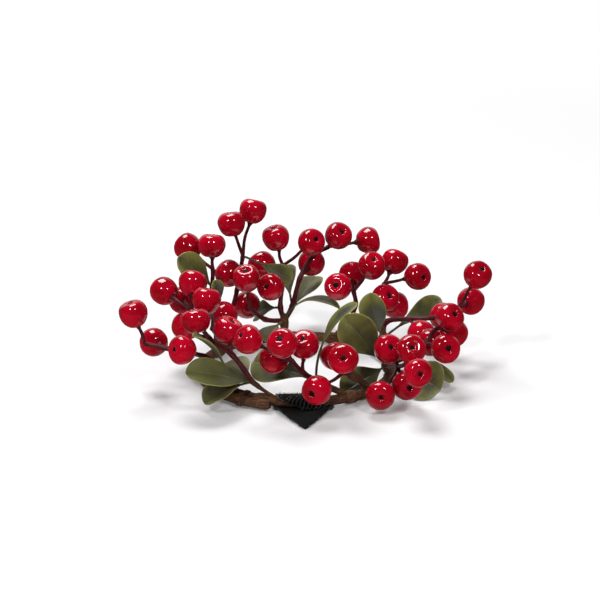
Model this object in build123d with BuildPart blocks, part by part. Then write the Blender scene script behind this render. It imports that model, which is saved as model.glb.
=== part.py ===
"""A berry candle ring: a paper-wrapped wire ring that carries eight sprays of
berries and leaves, and a black hook-and-loop strap at the front.

Millimetres, +Z up. The ring lies round the origin on the table at Z = 0, and
its front is towards -Y. Every spray is placed from its own spot on the ring:
a place is given as (outward, along the ring, up), counted in steps of about a
millimetre, which follow the ring and the berries when their sizes are changed.
"""
import os
from dataclasses import dataclass
from math import asin, atan2, cos, degrees, radians, sin, sqrt

from build123d import *

os.makedirs("parts", exist_ok=True)

# Ring: one wrapped wire bent round, with its two ends side by side.
RING_DIAMETER = 79.0
RING_THICKNESS = 4.2
RING_WIRE = 1.6
RING_END_ANGLE = -106.0
RING_OVERLAP = 40.0
END_GAP = 0.1

# Tape bindings.
TAPE_WALL = 1.2
TAPE_LENGTH = 6.0
FOOT_FLAT = 0.3
END_TAPE_ANGLE = -124.0
END_TAPE_WALL = 0.6
END_TAPE_LENGTH = 2.4

# Strap.
STRAP_ANGLE = -88.0
STRAP_WIDTH = 24.0
STRAP_THICKNESS = 0.8
STRAP_TONGUE = 23.0
STRAP_LAP = 7.5
STRAP_SLANT = 12.0
STRAP_GAP = 0.4

# Stems and twigs.
STEM_THICKNESS = 3.0
KNOT_DIAMETER = 6.2
TWIG_THICKNESS = 2.2
STALK_THICKNESS = 1.4
BUD_DIAMETER = 3.0
CALYX_DIAMETER = 3.0
CALYX_LENGTH = 1.5

# Berries.
BERRY_DIAMETER = 12.0
PIN_DIAMETER = 0.9
PIN_LENGTH = 2.4
PIN_SEAT = 0.3

# Leaves.
LEAF_THICKNESS = 0.5
LEAF_STALK = 1.0
LEAF_FOLD = 0.2
LEAF_WIDEST = 0.68
LEAF_TAPER = 0.4
LEAF_SPREAD = 0.25

# Fit between a pin and its hole, and between a wrap and what it goes round.
FIT = 0.05

# The sprays are laid out in steps, of which the ring is this many across and a berry needs this many.
RING_STEPS = 79
BERRY_STEPS = 12

# Worked out from the sizes above. The sprays spread with the ring, and wider where the berries need it.
STEP = max(RING_DIAMETER / RING_STEPS, BERRY_DIAMETER / BERRY_STEPS)
SPRAY_REACH = STEP * RING_STEPS / RING_DIAMETER
BERRY_PART = BERRY_DIAMETER / BERRY_STEPS
RING_RADIUS = RING_DIAMETER / 2
RING_BODY = RING_THICKNESS / 2
TAPE_RADIUS = RING_BODY + TAPE_WALL
RING_HEIGHT = TAPE_RADIUS - FOOT_FLAT
KNOT_RADIUS = KNOT_DIAMETER / 2
BUD_RADIUS = BUD_DIAMETER / 2
TWIG_RADIUS = TWIG_THICKNESS / 2
STALK_RADIUS = STALK_THICKNESS / 2
PIN_RADIUS = PIN_DIAMETER / 2
BERRY_BASE = 5.2 * BERRY_PART
UP = Vector(0, 0, 1)

# The outer end of the ring starts one thickness out and comes in over half a turn.
END_SHIFT = (RING_THICKNESS + END_GAP) / (1 + cos(radians(RING_OVERLAP)))
OUTER_RADIUS = RING_RADIUS + END_SHIFT
END_DIRECTION = Vector(cos(radians(RING_END_ANGLE)), sin(radians(RING_END_ANGLE)), 0)
INNER_CENTRE = Vector(0, 0, RING_HEIGHT)
OUTER_CENTRE = INNER_CENTRE + END_DIRECTION * END_SHIFT


@dataclass(frozen=True)
class Spray:
    """A stem bound to the ring at an angle, with its knot at a place.

    `shift` is how far round the ring the binding is from the spray's own angle.
    """

    angle: float
    knot: tuple
    shift: float = 0.0

    def foot(self):
        """The angle at which the stem is bound."""
        return self.angle + self.shift


@dataclass(frozen=True)
class Berry:
    """A berry at a place, on a stalk from one of its twig's nodes."""

    node: int
    place: tuple


@dataclass(frozen=True)
class Twig:
    """A twig that leaves a spray's knot, runs through its nodes and bears berries."""

    spray: str
    nodes: tuple
    berries: tuple


@dataclass(frozen=True)
class Leaf:
    """A leaf from a knot (twig None) or a twig's node to its tip.

    The blade bulges by `arch` towards `facing`, which is in world directions.
    """

    spray: str
    twig: str | None
    node: int
    tip: tuple
    facing: tuple
    arch: float
    width: float
    stalk: float


SPRAYS = {
    "front_left": Spray(-104, (1, -10, 8), -9),
    "left": Spray(150, (0, 0, 6.5)),
    "back": Spray(100, (1, 0, 7)),
    "back_right": Spray(68, (2, -7, 8)),
    "right": Spray(25, (1, 1, 7)),
    "front_right": Spray(-14, (-1, -4, 6)),
    "front_mid": Spray(-40, (0, -14, 11)),
    "front": Spray(-78, (2, -2, 10), 20),
}

TWIGS = {
    "far_left": Twig(
        "front_left",
        ((4, -20, 13), (3, -30, 18), (3, -45, 20), (2, -56, 21)),
        (Berry(2, (13, -36, 24)), Berry(3, (-8, -55, 18)), Berry(4, (3, -60, 34))),
    ),
    "left_rise": Twig(
        "front_left",
        ((-4, -20, 17), (-11, -32, 21), (-21, -43, 29)),
        (
            Berry(1, (-8, -23, 26)),
            Berry(2, (-3, -35, 31)),
            Berry(2, (-25, -46, 20)),
            Berry(3, (-28.5, -44, 38)),
            Berry(3, (-30, -57, 33)),
            Berry(3, (-40, -52, 26)),
        ),
    ),
    "left_tall": Twig(
        "left",
        ((0, -9, 12), (3, -21, 22), (3, -26, 36)),
        (Berry(3, (5, -20, 52)), Berry(3, (2, -33, 55))),
    ),
    "left_back": Twig(
        "left",
        ((5, -3, 16), (6, -5, 27), (6, -6, 35)),
        (Berry(2, (4, -15, 30.5)), Berry(3, (6, -5, 46)), Berry(3, (20, -8, 42))),
    ),
    "left_low": Twig(
        "left",
        ((-9, 19, 18),),
        (Berry(1, (-14, 31, 35)), Berry(1, (-6, 5, 19))),
    ),
    "back_low": Twig(
        "back",
        ((-1, 9, 9), (-5, 16, 16)),
        (Berry(2, (-10.5, 18.5, 31.5)), Berry(2, (5, 16, 14))),
    ),
    "back_mid": Twig(
        "back",
        ((5, 1, 12), (8, 0, 19), (10, -1, 30)),
        (
            Berry(2, (-7, 7, 26)),
            Berry(2, (18, 7, 28)),
            Berry(3, (10, 2, 43)),
            Berry(3, (1, -12, 43)),
        ),
    ),
    "back_tall": Twig(
        "back",
        ((3, -4, 13), (6, -8, 25), (10, -14, 33), (12, -22, 37)),
        (Berry(2, (17, -15, 28)), Berry(4, (5, -25, 44)), Berry(4, (12, -40, 39))),
    ),
    "back_right_mid": Twig(
        "back_right",
        ((4, -9, 16), (4, -8, 22)),
        (Berry(2, (-7, -5, 27)), Berry(2, (13, -4, 26)), Berry(2, (5, -16, 34))),
    ),
    "back_right_out": Twig(
        "back_right",
        ((10, -14, 13), (14, -19, 24)),
        (
            Berry(1, (3, -23, 21)),
            Berry(1, (17, -23, 13)),
            Berry(2, (21, -21, 32)),
            Berry(2, (17, -33, 28)),
        ),
    ),
    "right_long": Twig(
        "right",
        ((4, 4, 13), (11, -4, 16), (19, -12, 18), (26, -22, 25)),
        (
            Berry(2, (12, -13, 12)),
            Berry(3, (27, -5, 15)),
            Berry(4, (35, -15, 24)),
            Berry(4, (31, -27, 40)),
        ),
    ),
    "right_short": Twig(
        "front_right",
        ((6, 0, 9), (14, 3, 15), (18, 5, 21)),
        (
            Berry(2, (15, 10, 13)),
            Berry(2, (24, -4, 16)),
            Berry(3, (23, 21, 14)),
            Berry(3, (24, 4, 27)),
        ),
    ),
    "front_right": Twig(
        "front_right",
        ((6, -14, 10), (11, -24, 15)),
        (
            Berry(1, (3, -21, 20)),
            Berry(2, (14, -27, 23)),
            Berry(2, (19, -39, 18)),
            Berry(1, (12, -26, 7)),
            Berry(1, (3, -35, 5)),
        ),
    ),
    "front_mid": Twig(
        "front_mid",
        ((1, -21, 14),),
        (Berry(1, (-5, -19, 19)), Berry(1, (6, -27, 23)), Berry(1, (0, -36, 11))),
    ),
    "front": Twig(
        "front",
        ((4, -8, 15), (5, -13, 21)),
        (
            Berry(1, (2, -7, 26)),
            Berry(2, (12, -18, 31)),
            Berry(2, (-4, -18, 18.5)),
            Berry(2, (2, -30, 30)),
        ),
    ),
}

LEAVES = {
    "front_left_big": Leaf("front_left", None, 0, (19, -33, 16), (0.1, -0.85, 0.55), 2.5, 14, 5),
    "front_left_low": Leaf("front_left", None, 0, (11, -28, 1), (0, 0.1, 1), 1.5, 12, 8),
    "front_left_rise": Leaf("front_left", "far_left", 1, (12, -32, 30), (0.6, 0.3, 0.75), 2, 11, 4),
    "front_left_inner": Leaf("front_left", None, 0, (-16, -26, 8.5), (0.2, -0.5, 0.8), 1, 12, 6),
    "front_low": Leaf("front", None, 0, (-19, -24, 13), (0, -0.85, 0.5), 2, 13, 7),
    "front_rise": Leaf("front", None, 0, (2, 15, 42), (-0.75, 0.2, 0.63), 5, 11, 14),
    "right_round": Leaf("front_right", None, 0, (-16, -18, 32), (-0.2, -0.9, 0.4), 3, 18, 8),
    "right_inner": Leaf("front_right", None, 0, (-17.5, -22, 5), (-0.2, -0.2, 0.95), 2, 9, 6),
    "right_low": Leaf("front_right", None, 0, (20, -13, 0), (0.3, -0.7, 0.6), 2, 13, 10),
    "right_far": Leaf("front_right", "right_short", 1, (27, 0, 0), (0.1, -0.2, 1), 2, 9, 6),
    "right_rise": Leaf("right", None, 0, (-8, -2, 30), (-0.3, -0.9, 0.3), 3, 13, 6),
    "right_out": Leaf("right", None, 0, (36, 13, 16), (0.1, -0.7, 0.6), 3, 12, 7),
    "left_top": Leaf("left", "left_back", 2, (13, 11, 44), (0.2, -0.8, 0.5), 2, 13, 5),
    "left_upright": Leaf("left", "left_back", 1, (-1, 4, 34), (0.6, -0.7, 0.2), 2, 11, 5),
    "left_arch": Leaf("left", "left_tall", 3, (-17, -35, 25), (0.2, -0.85, 0.5), 2, 12, 5),
    "back_first": Leaf("back", "back_tall", 1, (22, -5, 26), (-0.2, -0.8, 0.5), 2, 9, 6),
    "back_second": Leaf("back", None, 0, (26, -19, 18.5), (-0.3, -0.8, 0.5), 1, 12, 13),
    "back_curl": Leaf("back", None, 0, (-10, -23, 15), (-0.3, 0.1, 0.95), 7, 9, 7),
    "back_small": Leaf("back", "back_mid", 1, (17, 9, 6), (0, -0.6, 0.8), 2, 11, 4),
    "back_inner": Leaf("back", None, 0, (-11, 10, 2), (0, -0.2, 1), 2, 11, 6),
}

# Leaves that are made as one node.
LEAF_PAIRS = (
    ("back_first", "back_second"),
    ("right_low", "right_far"),
    ("left_top", "left_upright"),
    ("front_left_big", "front_left_low"),
)


def on_outer_strand(angle):
    """Whether a binding at an angle goes round the strand from the outer end."""
    return RING_OVERLAP < (RING_END_ANGLE - angle) % 360 < 180


def ring_spot(angle):
    """The middle of the ring's strand at an angle; the inner one where both run."""
    direction = Vector(cos(radians(angle)), sin(radians(angle)), 0)
    if not on_outer_strand(angle):
        return INNER_CENTRE + direction * RING_RADIUS
    turn = RING_END_ANGLE - angle
    reach = END_SHIFT * cos(radians(turn))
    side = END_SHIFT * sin(radians(turn))
    return INNER_CENTRE + direction * (reach + (OUTER_RADIUS**2 - side**2) ** 0.5)


def spot(spray, place):
    """The world point of a place in a spray."""
    angle = radians(SPRAYS[spray].angle)
    outward = Vector(cos(angle), sin(angle), 0)
    along = Vector(-sin(angle), cos(angle), 0)
    out, side, up = place
    base = ring_spot(SPRAYS[spray].angle)
    offset = outward * out + along * side + UP * up
    return Vector(base.X * SPRAY_REACH, base.Y * SPRAY_REACH, base.Z) + offset * STEP


def twig_node(name, index):
    """The world point of a twig's node; node 0 is the knot it leaves."""
    twig = TWIGS[name]
    if index == 0:
        return spot(twig.spray, SPRAYS[twig.spray].knot)
    return spot(twig.spray, twig.nodes[index - 1])


def berry_plane(name, berry):
    """The plane of a berry: its origin in the middle, its Z to the eye."""
    centre = spot(TWIGS[name].spray, berry.place)
    return Plane(centre, z_dir=(centre - twig_node(name, berry.node)).normalized())


def leaf_root(leaf):
    """The point a leaf's stalk starts from."""
    if leaf.twig is None:
        return spot(leaf.spray, SPRAYS[leaf.spray].knot)
    return twig_node(leaf.twig, leaf.node)


def leaf_neighbours(leaf):
    """The nodes next to the point a leaf starts from, to which twigs run."""
    if leaf.twig is None:
        return [twig_node(name, 1) for name, twig in TWIGS.items() if twig.spray == leaf.spray]
    last = len(TWIGS[leaf.twig].nodes)
    return [twig_node(leaf.twig, index) for index in (leaf.node - 1, leaf.node + 1) if index <= last]


class LeafArc:
    """The arc of a leaf's midrib from its root to its tip."""

    def __init__(self, leaf):
        self.root = leaf_root(leaf)
        tip = spot(leaf.spray, leaf.tip)
        self.chord = (tip - self.root).length
        self.ahead = (tip - self.root).normalized()
        facing = Vector(*leaf.facing)
        self.normal = (facing - self.ahead * facing.dot(self.ahead)).normalized()
        self.side = self.normal.cross(self.ahead)
        self.arch = leaf.arch * STEP
        self.radius = (self.chord**2 / 4 + self.arch**2) / (2 * self.arch)
        middle = self.root + self.ahead * (self.chord / 2)
        self.centre = middle - self.normal * (self.radius - self.arch)
        self.half_turn = asin(self.chord / 2 / self.radius)
        self.start = self.ahead * cos(self.half_turn) + self.normal * sin(self.half_turn)
        self.rise = (self.root - self.centre).normalized()

    def section(self):
        """The plane across the midrib at the root: X to the side, Y away from the arc's centre."""
        return Plane(self.root, x_dir=self.side, z_dir=self.side.cross(self.rise))

    def flat(self):
        """The plane of the chord: X to the tip, Y to the side."""
        return Plane(self.root, x_dir=self.ahead, z_dir=self.normal)


def pin_holes(centre, radius, directions):
    """Cut the holes in a ball for the core wires that enter it."""
    for direction in directions:
        with Locations(Plane(centre + direction * ((1 - PIN_SEAT) * radius - FIT), z_dir=direction)):
            Cylinder(
                PIN_RADIUS + FIT,
                radius,
                align=(Align.CENTER, Align.CENTER, Align.MIN),
                mode=Mode.SUBTRACT,
            )


def core_pin(centre, radius, direction):
    """A core wire that reaches into a ball and out into the piece it holds."""
    with Locations(Plane(centre + direction * (1 - PIN_SEAT) * radius, z_dir=direction)):
        Cylinder(PIN_RADIUS, 2 * PIN_SEAT * radius, align=(Align.CENTER, Align.CENTER, Align.MIN))


def ball(centre, radius, way, mode=Mode.ADD):
    """A ball with its poles along the rod that meets it."""
    with Locations(Plane(centre, z_dir=way)):
        Sphere(radius, mode=mode)


def rod(start, end, radius, mode=Mode.ADD):
    """A round rod from one point to another."""
    run = end - start
    with Locations(Plane(start, z_dir=run.normalized())):
        Cylinder(radius, run.length, align=(Align.CENTER, Align.CENTER, Align.MIN), mode=mode)


def ring_tube(radius, centre, turn_radius, start, turn):
    """A piece of a round ring: a tube turned about an upright axis."""
    direction = Vector(cos(radians(start)), sin(radians(start)), 0)
    section = Plane(centre + direction * turn_radius, x_dir=direction, z_dir=direction.cross(UP))
    with BuildSketch(section) as across:
        Circle(radius)
    revolve(across.sketch, axis=Axis(centre, UP), revolution_arc=turn)


def whole_ring(radius):
    """The ring's full run: half a turn in from the outer end, then round to the inner end."""
    ring_tube(radius, OUTER_CENTRE, OUTER_RADIUS, RING_END_ANGLE - 180, 180)
    ring_tube(radius, INNER_CENTRE, RING_RADIUS, RING_END_ANGLE - RING_OVERLAP, 180 + RING_OVERLAP)


def save(node, label):
    """Name a node and write its file."""
    node.part.label = label
    export_step(node.part, f"parts/{label}.step")


# The wire in the ring, and the paper tape wound on it.
with BuildPart() as ring_wire:
    whole_ring(RING_WIRE / 2)
save(ring_wire, "ring_wire")

with BuildPart() as ring_wrap:
    whole_ring(RING_BODY)
    add(ring_wire.part, mode=Mode.SUBTRACT)
save(ring_wrap, "ring_wrap")

# The tape bindings: one under each spray and one over both ring ends.
with BuildPart() as ring_solid:
    whole_ring(RING_BODY)

with BuildPart() as tape_bindings:
    half_turn = degrees(TAPE_LENGTH / 2 / RING_RADIUS)
    for spray in SPRAYS.values():
        base = ring_spot(spray.foot())
        centre = OUTER_CENTRE if on_outer_strand(spray.foot()) else INNER_CENTRE
        arm = base - centre
        start = degrees(atan2(arm.Y, arm.X)) - half_turn
        ring_tube(TAPE_RADIUS, centre, arm.length, start, 2 * half_turn)
    end_half = degrees(END_TAPE_LENGTH / 2 / RING_RADIUS)
    end_start = END_TAPE_ANGLE - end_half
    end_radius = RING_BODY + END_TAPE_WALL
    ring_tube(end_radius, INNER_CENTRE, RING_RADIUS, end_start, 2 * end_half)
    ring_tube(end_radius, OUTER_CENTRE, OUTER_RADIUS, end_start, 2 * end_half)
    add(ring_solid.part, mode=Mode.SUBTRACT)
    for name, spray in SPRAYS.items():
        base = ring_spot(spray.foot())
        rise = (spot(name, spray.knot) - base).normalized()
        with Locations(Plane(base, z_dir=rise)):
            Cylinder(
                STEM_THICKNESS / 2 + FIT,
                2 * TAPE_RADIUS,
                align=(Align.CENTER, Align.CENTER, Align.MIN),
                mode=Mode.SUBTRACT,
            )
    with Locations((0, 0, 0)):
        Box(
            4 * RING_DIAMETER,
            4 * RING_DIAMETER,
            RING_DIAMETER,
            align=(Align.CENTER, Align.CENTER, Align.MAX),
            mode=Mode.SUBTRACT,
        )
save(tape_bindings, "tape_bindings")

# The strap: under the ring, up behind it, over it with its end cut on a slant, and down on
# its own tongue. The tongue's point is a piece of its own that lifts at the fold before the lap.
strap_out = Vector(cos(radians(STRAP_ANGLE)), sin(radians(STRAP_ANGLE)), 0)
strap_spot = INNER_CENTRE + strap_out * RING_RADIUS
strap_across = Plane(strap_spot, x_dir=strap_out, z_dir=strap_out.cross(UP))
strap_plan = Plane(strap_spot, x_dir=strap_out, z_dir=UP)
ring_inside = RING_RADIUS - RING_BODY
strap_bow = ring_inside - (ring_inside**2 - STRAP_WIDTH**2 / 4) ** 0.5
strap_in = RING_BODY + FIT
strap_loop = strap_in + STRAP_THICKNESS
strap_crest = 0.6 * RING_BODY
strap_fold = STRAP_LAP + STRAP_THICKNESS
wrap_end = strap_fold - STRAP_GAP / 2
tongue_start = strap_fold + STRAP_GAP / 2


def tongue_half(reach):
    """Half the pointed tongue's width at a distance out from the ring."""
    return STRAP_WIDTH / 2 * (STRAP_TONGUE - reach) / (STRAP_TONGUE - strap_loop)


with BuildPart() as strap_wrap:
    with BuildSketch(strap_across):
        with BuildLine():
            Line((wrap_end, -strap_loop), (-strap_bow, -strap_loop))
            ThreePointArc(
                (-strap_bow, -strap_loop),
                (-strap_bow - strap_loop, 0),
                (-strap_bow, strap_loop),
            )
            Polyline(
                (-strap_bow, strap_loop),
                (strap_crest + STRAP_THICKNESS / 2, strap_loop),
                (STRAP_LAP, -strap_in),
                (wrap_end, -strap_in),
                (wrap_end, -strap_loop),
            )
        make_face()
        with BuildLine():
            Line((STRAP_LAP - 1.5 * STRAP_THICKNESS, -strap_in), (-strap_bow, -strap_in))
            ThreePointArc((-strap_bow, -strap_in), (-strap_bow - strap_in, 0), (-strap_bow, strap_in))
            Polyline(
                (-strap_bow, strap_in),
                (strap_crest, strap_in),
                (STRAP_LAP - 1.5 * STRAP_THICKNESS, -strap_in),
            )
        make_face(mode=Mode.SUBTRACT)
    extrude(amount=STRAP_WIDTH / 2, both=True)
    with BuildSketch(strap_plan.offset(-2 * RING_HEIGHT)):
        with BuildLine():
            Polyline(
                (-2 * strap_loop - strap_bow, -STRAP_WIDTH / 2),
                (strap_loop, -STRAP_WIDTH / 2),
                (wrap_end, -tongue_half(wrap_end)),
                (wrap_end, tongue_half(wrap_end)),
                (strap_loop, STRAP_WIDTH / 2),
                (-2 * strap_loop - strap_bow, STRAP_WIDTH / 2),
                close=True,
            )
        make_face()
    extrude(amount=4 * RING_HEIGHT, mode=Mode.INTERSECT)
    with BuildSketch(strap_plan.offset(-strap_in)):
        with BuildLine():
            Polyline(
                (-strap_bow, -STRAP_WIDTH / 2 - FIT),
                (strap_fold, -STRAP_WIDTH / 2 - FIT),
                (strap_fold, STRAP_SLANT - STRAP_WIDTH / 2),
                close=True,
            )
        make_face()
    extrude(amount=2 * RING_HEIGHT, mode=Mode.SUBTRACT)
save(strap_wrap, "strap_wrap")

with BuildPart() as strap_tongue:
    with BuildSketch(strap_plan.offset(-strap_loop)):
        with BuildLine():
            Polyline(
                (tongue_start, -tongue_half(tongue_start)),
                (STRAP_TONGUE, 0),
                (tongue_start, tongue_half(tongue_start)),
                close=True,
            )
        make_face()
    extrude(amount=STRAP_THICKNESS)
save(strap_tongue, "strap_tongue")

# The stems: from the ring, through their bindings, to a knot with holes for the core wires.
for name, spray in SPRAYS.items():
    base = ring_spot(spray.foot())
    knot = spot(name, spray.knot)
    starts = [twig_node(key, 1) - knot for key, twig in TWIGS.items() if twig.spray == name]
    starts += [LeafArc(leaf).start for leaf in LEAVES.values() if (leaf.spray, leaf.twig) == (name, None)]
    with BuildPart() as stem:
        rod(base, knot, STEM_THICKNESS / 2)
        ball(knot, KNOT_RADIUS, (knot - base).normalized())
        pin_holes(knot, KNOT_RADIUS, [way.normalized() for way in starts])
        add(ring_solid.part, mode=Mode.SUBTRACT)
    save(stem, f"stem_{name}")

# The twigs, each with a stalk, a calyx and a pin for every berry.
for name, twig in TWIGS.items():
    nodes = [twig_node(name, index) for index in range(len(twig.nodes) + 1)]
    way_in = (nodes[1] - nodes[0]).normalized()
    leaf_starts = {}
    for leaf in LEAVES.values():
        if leaf.twig == name:
            leaf_starts.setdefault(leaf.node, []).append(LeafArc(leaf).start)
    with BuildPart() as twig_solid:
        for here, there in zip(nodes, nodes[1:]):
            rod(here, there, TWIG_RADIUS)
            ball(there, BUD_RADIUS, (there - here).normalized())
        for berry in twig.berries:
            seat = berry_plane(name, berry)
            base = seat.origin - seat.z_dir * BERRY_BASE
            rod(nodes[berry.node], base, STALK_RADIUS)
            with Locations(Plane(base, z_dir=seat.z_dir)):
                Cone(
                    STALK_RADIUS,
                    CALYX_DIAMETER / 2,
                    CALYX_LENGTH,
                    align=(Align.CENTER, Align.CENTER, Align.MAX),
                )
                Cylinder(PIN_RADIUS, PIN_LENGTH, align=(Align.CENTER, Align.CENTER, Align.MIN))
        ball(nodes[0], KNOT_RADIUS, way_in, Mode.SUBTRACT)
        core_pin(nodes[0], KNOT_RADIUS, way_in)
        for index, starts in leaf_starts.items():
            pin_holes(nodes[index], BUD_RADIUS, starts)
    save(twig_solid, f"twig_{name}")

# One berry, standing on its base, with a socket below and a dished eye on top.
with BuildPart() as berry_blank:
    with BuildSketch(Plane.XZ):
        with BuildLine():
            socket = PIN_RADIUS + FIT
            depth = PIN_LENGTH + FIT - BERRY_BASE
            base_edge = 1.5 * BERRY_PART
            belly = 0.6 * BERRY_PART
            Polyline((0, depth), (socket, depth), (socket, -BERRY_BASE), (base_edge, -BERRY_BASE))
            ThreePointArc(
                (base_edge, -BERRY_BASE),
                (4.7 * BERRY_PART, -3.2 * BERRY_PART),
                (6 * BERRY_PART, belly),
            )
            TangentArc((6 * BERRY_PART, belly), (3.9 * BERRY_PART, 4.7 * BERRY_PART), tangent=(0, 1))
            ThreePointArc(
                (3.9 * BERRY_PART, 4.7 * BERRY_PART),
                (3.2 * BERRY_PART, 5.1 * BERRY_PART),
                (2.5 * BERRY_PART, 5 * BERRY_PART),
            )
            Polyline(
                (2.5 * BERRY_PART, 5 * BERRY_PART),
                (1.1 * BERRY_PART, 4.4 * BERRY_PART),
                (0.8 * BERRY_PART, 3.6 * BERRY_PART),
                (0, 3.4 * BERRY_PART),
                (0, depth),
            )
        make_face()
    revolve(axis=Axis.Z)

for name, twig in TWIGS.items():
    with BuildPart() as berries:
        with Locations(*[berry_plane(name, berry) for berry in twig.berries]):
            add(berry_blank.part)
    save(berries, f"berries_{name}")


def leaf_solid(leaf):
    """A leaf blade folded along its midrib, on a round stalk with a core pin."""
    arc = LeafArc(leaf)
    seat = KNOT_RADIUS if leaf.twig is None else BUD_RADIUS
    twig_edge = sqrt(max(0, seat**2 - (TWIG_RADIUS + FIT) ** 2))
    half_width = leaf.width * STEP / 2
    stalk = leaf.stalk * STEP
    widest = stalk + LEAF_WIDEST * (arc.chord - stalk)
    taper = LEAF_TAPER * (widest - stalk)
    wing = half_width + LEAF_THICKNESS
    half = LEAF_THICKNESS / 2
    axis = Axis(arc.centre, arc.side)
    with BuildPart() as blade:
        with BuildSketch(arc.section()):
            with BuildLine():
                Polyline(
                    (0, -half),
                    (wing, LEAF_FOLD * wing - half),
                    (wing, LEAF_FOLD * wing + half),
                    (0, half),
                    (-wing, LEAF_FOLD * wing + half),
                    (-wing, LEAF_FOLD * wing - half),
                    close=True,
                )
            make_face()
        revolve(axis=axis, revolution_arc=degrees(2 * arc.half_turn))
        with BuildSketch(arc.flat().offset(-arc.chord)):
            with BuildLine():
                EllipticalCenterArc(
                    (widest, 0), arc.chord - widest, half_width, start_angle=-90, arc_size=180
                )
                for side in (1, -1):
                    Bezier(
                        (stalk, side * LEAF_STALK / 2),
                        (stalk + taper, side * (LEAF_STALK / 2 + LEAF_SPREAD * half_width)),
                        (widest - taper, side * half_width),
                        (widest, side * half_width),
                    )
                Line((stalk, LEAF_STALK / 2), (stalk, -LEAF_STALK / 2))
            make_face()
        extrude(amount=2 * arc.chord, mode=Mode.INTERSECT)
        with BuildSketch(arc.section()):
            Circle(LEAF_STALK / 2)
        revolve(axis=axis, revolution_arc=degrees(asin(min(1, 1.3 * stalk / arc.radius))))
        for neighbour in leaf_neighbours(leaf):
            way = (neighbour - arc.root).normalized()
            rod(arc.root + way * twig_edge, neighbour, TWIG_RADIUS + FIT, Mode.SUBTRACT)
        ball(arc.root, seat, arc.start, Mode.SUBTRACT)
        core_pin(arc.root, seat, arc.start)
    return blade


# The leaves.
for pair in LEAF_PAIRS:
    with BuildPart() as leaves:
        for name in pair:
            add(leaf_solid(LEAVES[name]).part)
    save(leaves, f"leaf_{pair[0]}_pair")

for name, leaf in LEAVES.items():
    if name not in [member for pair in LEAF_PAIRS for member in pair]:
        save(leaf_solid(leaf), f"leaf_{name}")
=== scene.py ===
"""The looks of a candle ring: a tape-wound ring that carries sprays of red berries.

Every piece stands in the frame of the solids, in metres. The ring lies round the origin
on the table at Z = 0, and its front is towards -Y. A place in a spray is given as
(outward, along the ring, up), in steps of a millimetre.

A field's ending says what it holds: _share a part of the size that it goes with, _cells
how fine a noise is, in cells per metre or per turn, _range the two ends of a random draw,
_steps and _sides counts of faces, and _seam the side of a tube on which its turns start.
"""
from __future__ import annotations

import logging
import math
import random
from dataclasses import dataclass
from enum import Enum
from typing import Callable, Sequence

import bmesh
import bpy
from mathutils import Matrix, Vector, noise


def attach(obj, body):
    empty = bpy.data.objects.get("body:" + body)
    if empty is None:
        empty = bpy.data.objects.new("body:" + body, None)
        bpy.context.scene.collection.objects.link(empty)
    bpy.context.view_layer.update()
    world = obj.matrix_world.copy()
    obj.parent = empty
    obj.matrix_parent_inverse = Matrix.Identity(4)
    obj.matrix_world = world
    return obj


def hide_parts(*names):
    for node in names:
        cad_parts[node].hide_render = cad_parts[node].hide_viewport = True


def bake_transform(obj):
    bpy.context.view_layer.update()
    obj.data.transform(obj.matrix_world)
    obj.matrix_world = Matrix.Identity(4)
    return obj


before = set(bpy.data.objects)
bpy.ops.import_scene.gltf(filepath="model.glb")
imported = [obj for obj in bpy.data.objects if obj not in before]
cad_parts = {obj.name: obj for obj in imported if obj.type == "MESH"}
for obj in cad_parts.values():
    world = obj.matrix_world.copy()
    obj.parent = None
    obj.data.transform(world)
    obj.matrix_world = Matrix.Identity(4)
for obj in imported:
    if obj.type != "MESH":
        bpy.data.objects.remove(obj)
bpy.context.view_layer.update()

LOG = logging.getLogger("candle_ring")
MM = 0.001
STEP = 1.0 * MM
UP = Vector((0.0, 0.0, 1.0))
LEAST_STEPS = 3

Place = tuple[float, float, float]
Colour = tuple[float, float, float, float]
RadiusRule = Callable[[float, float], float]


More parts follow.
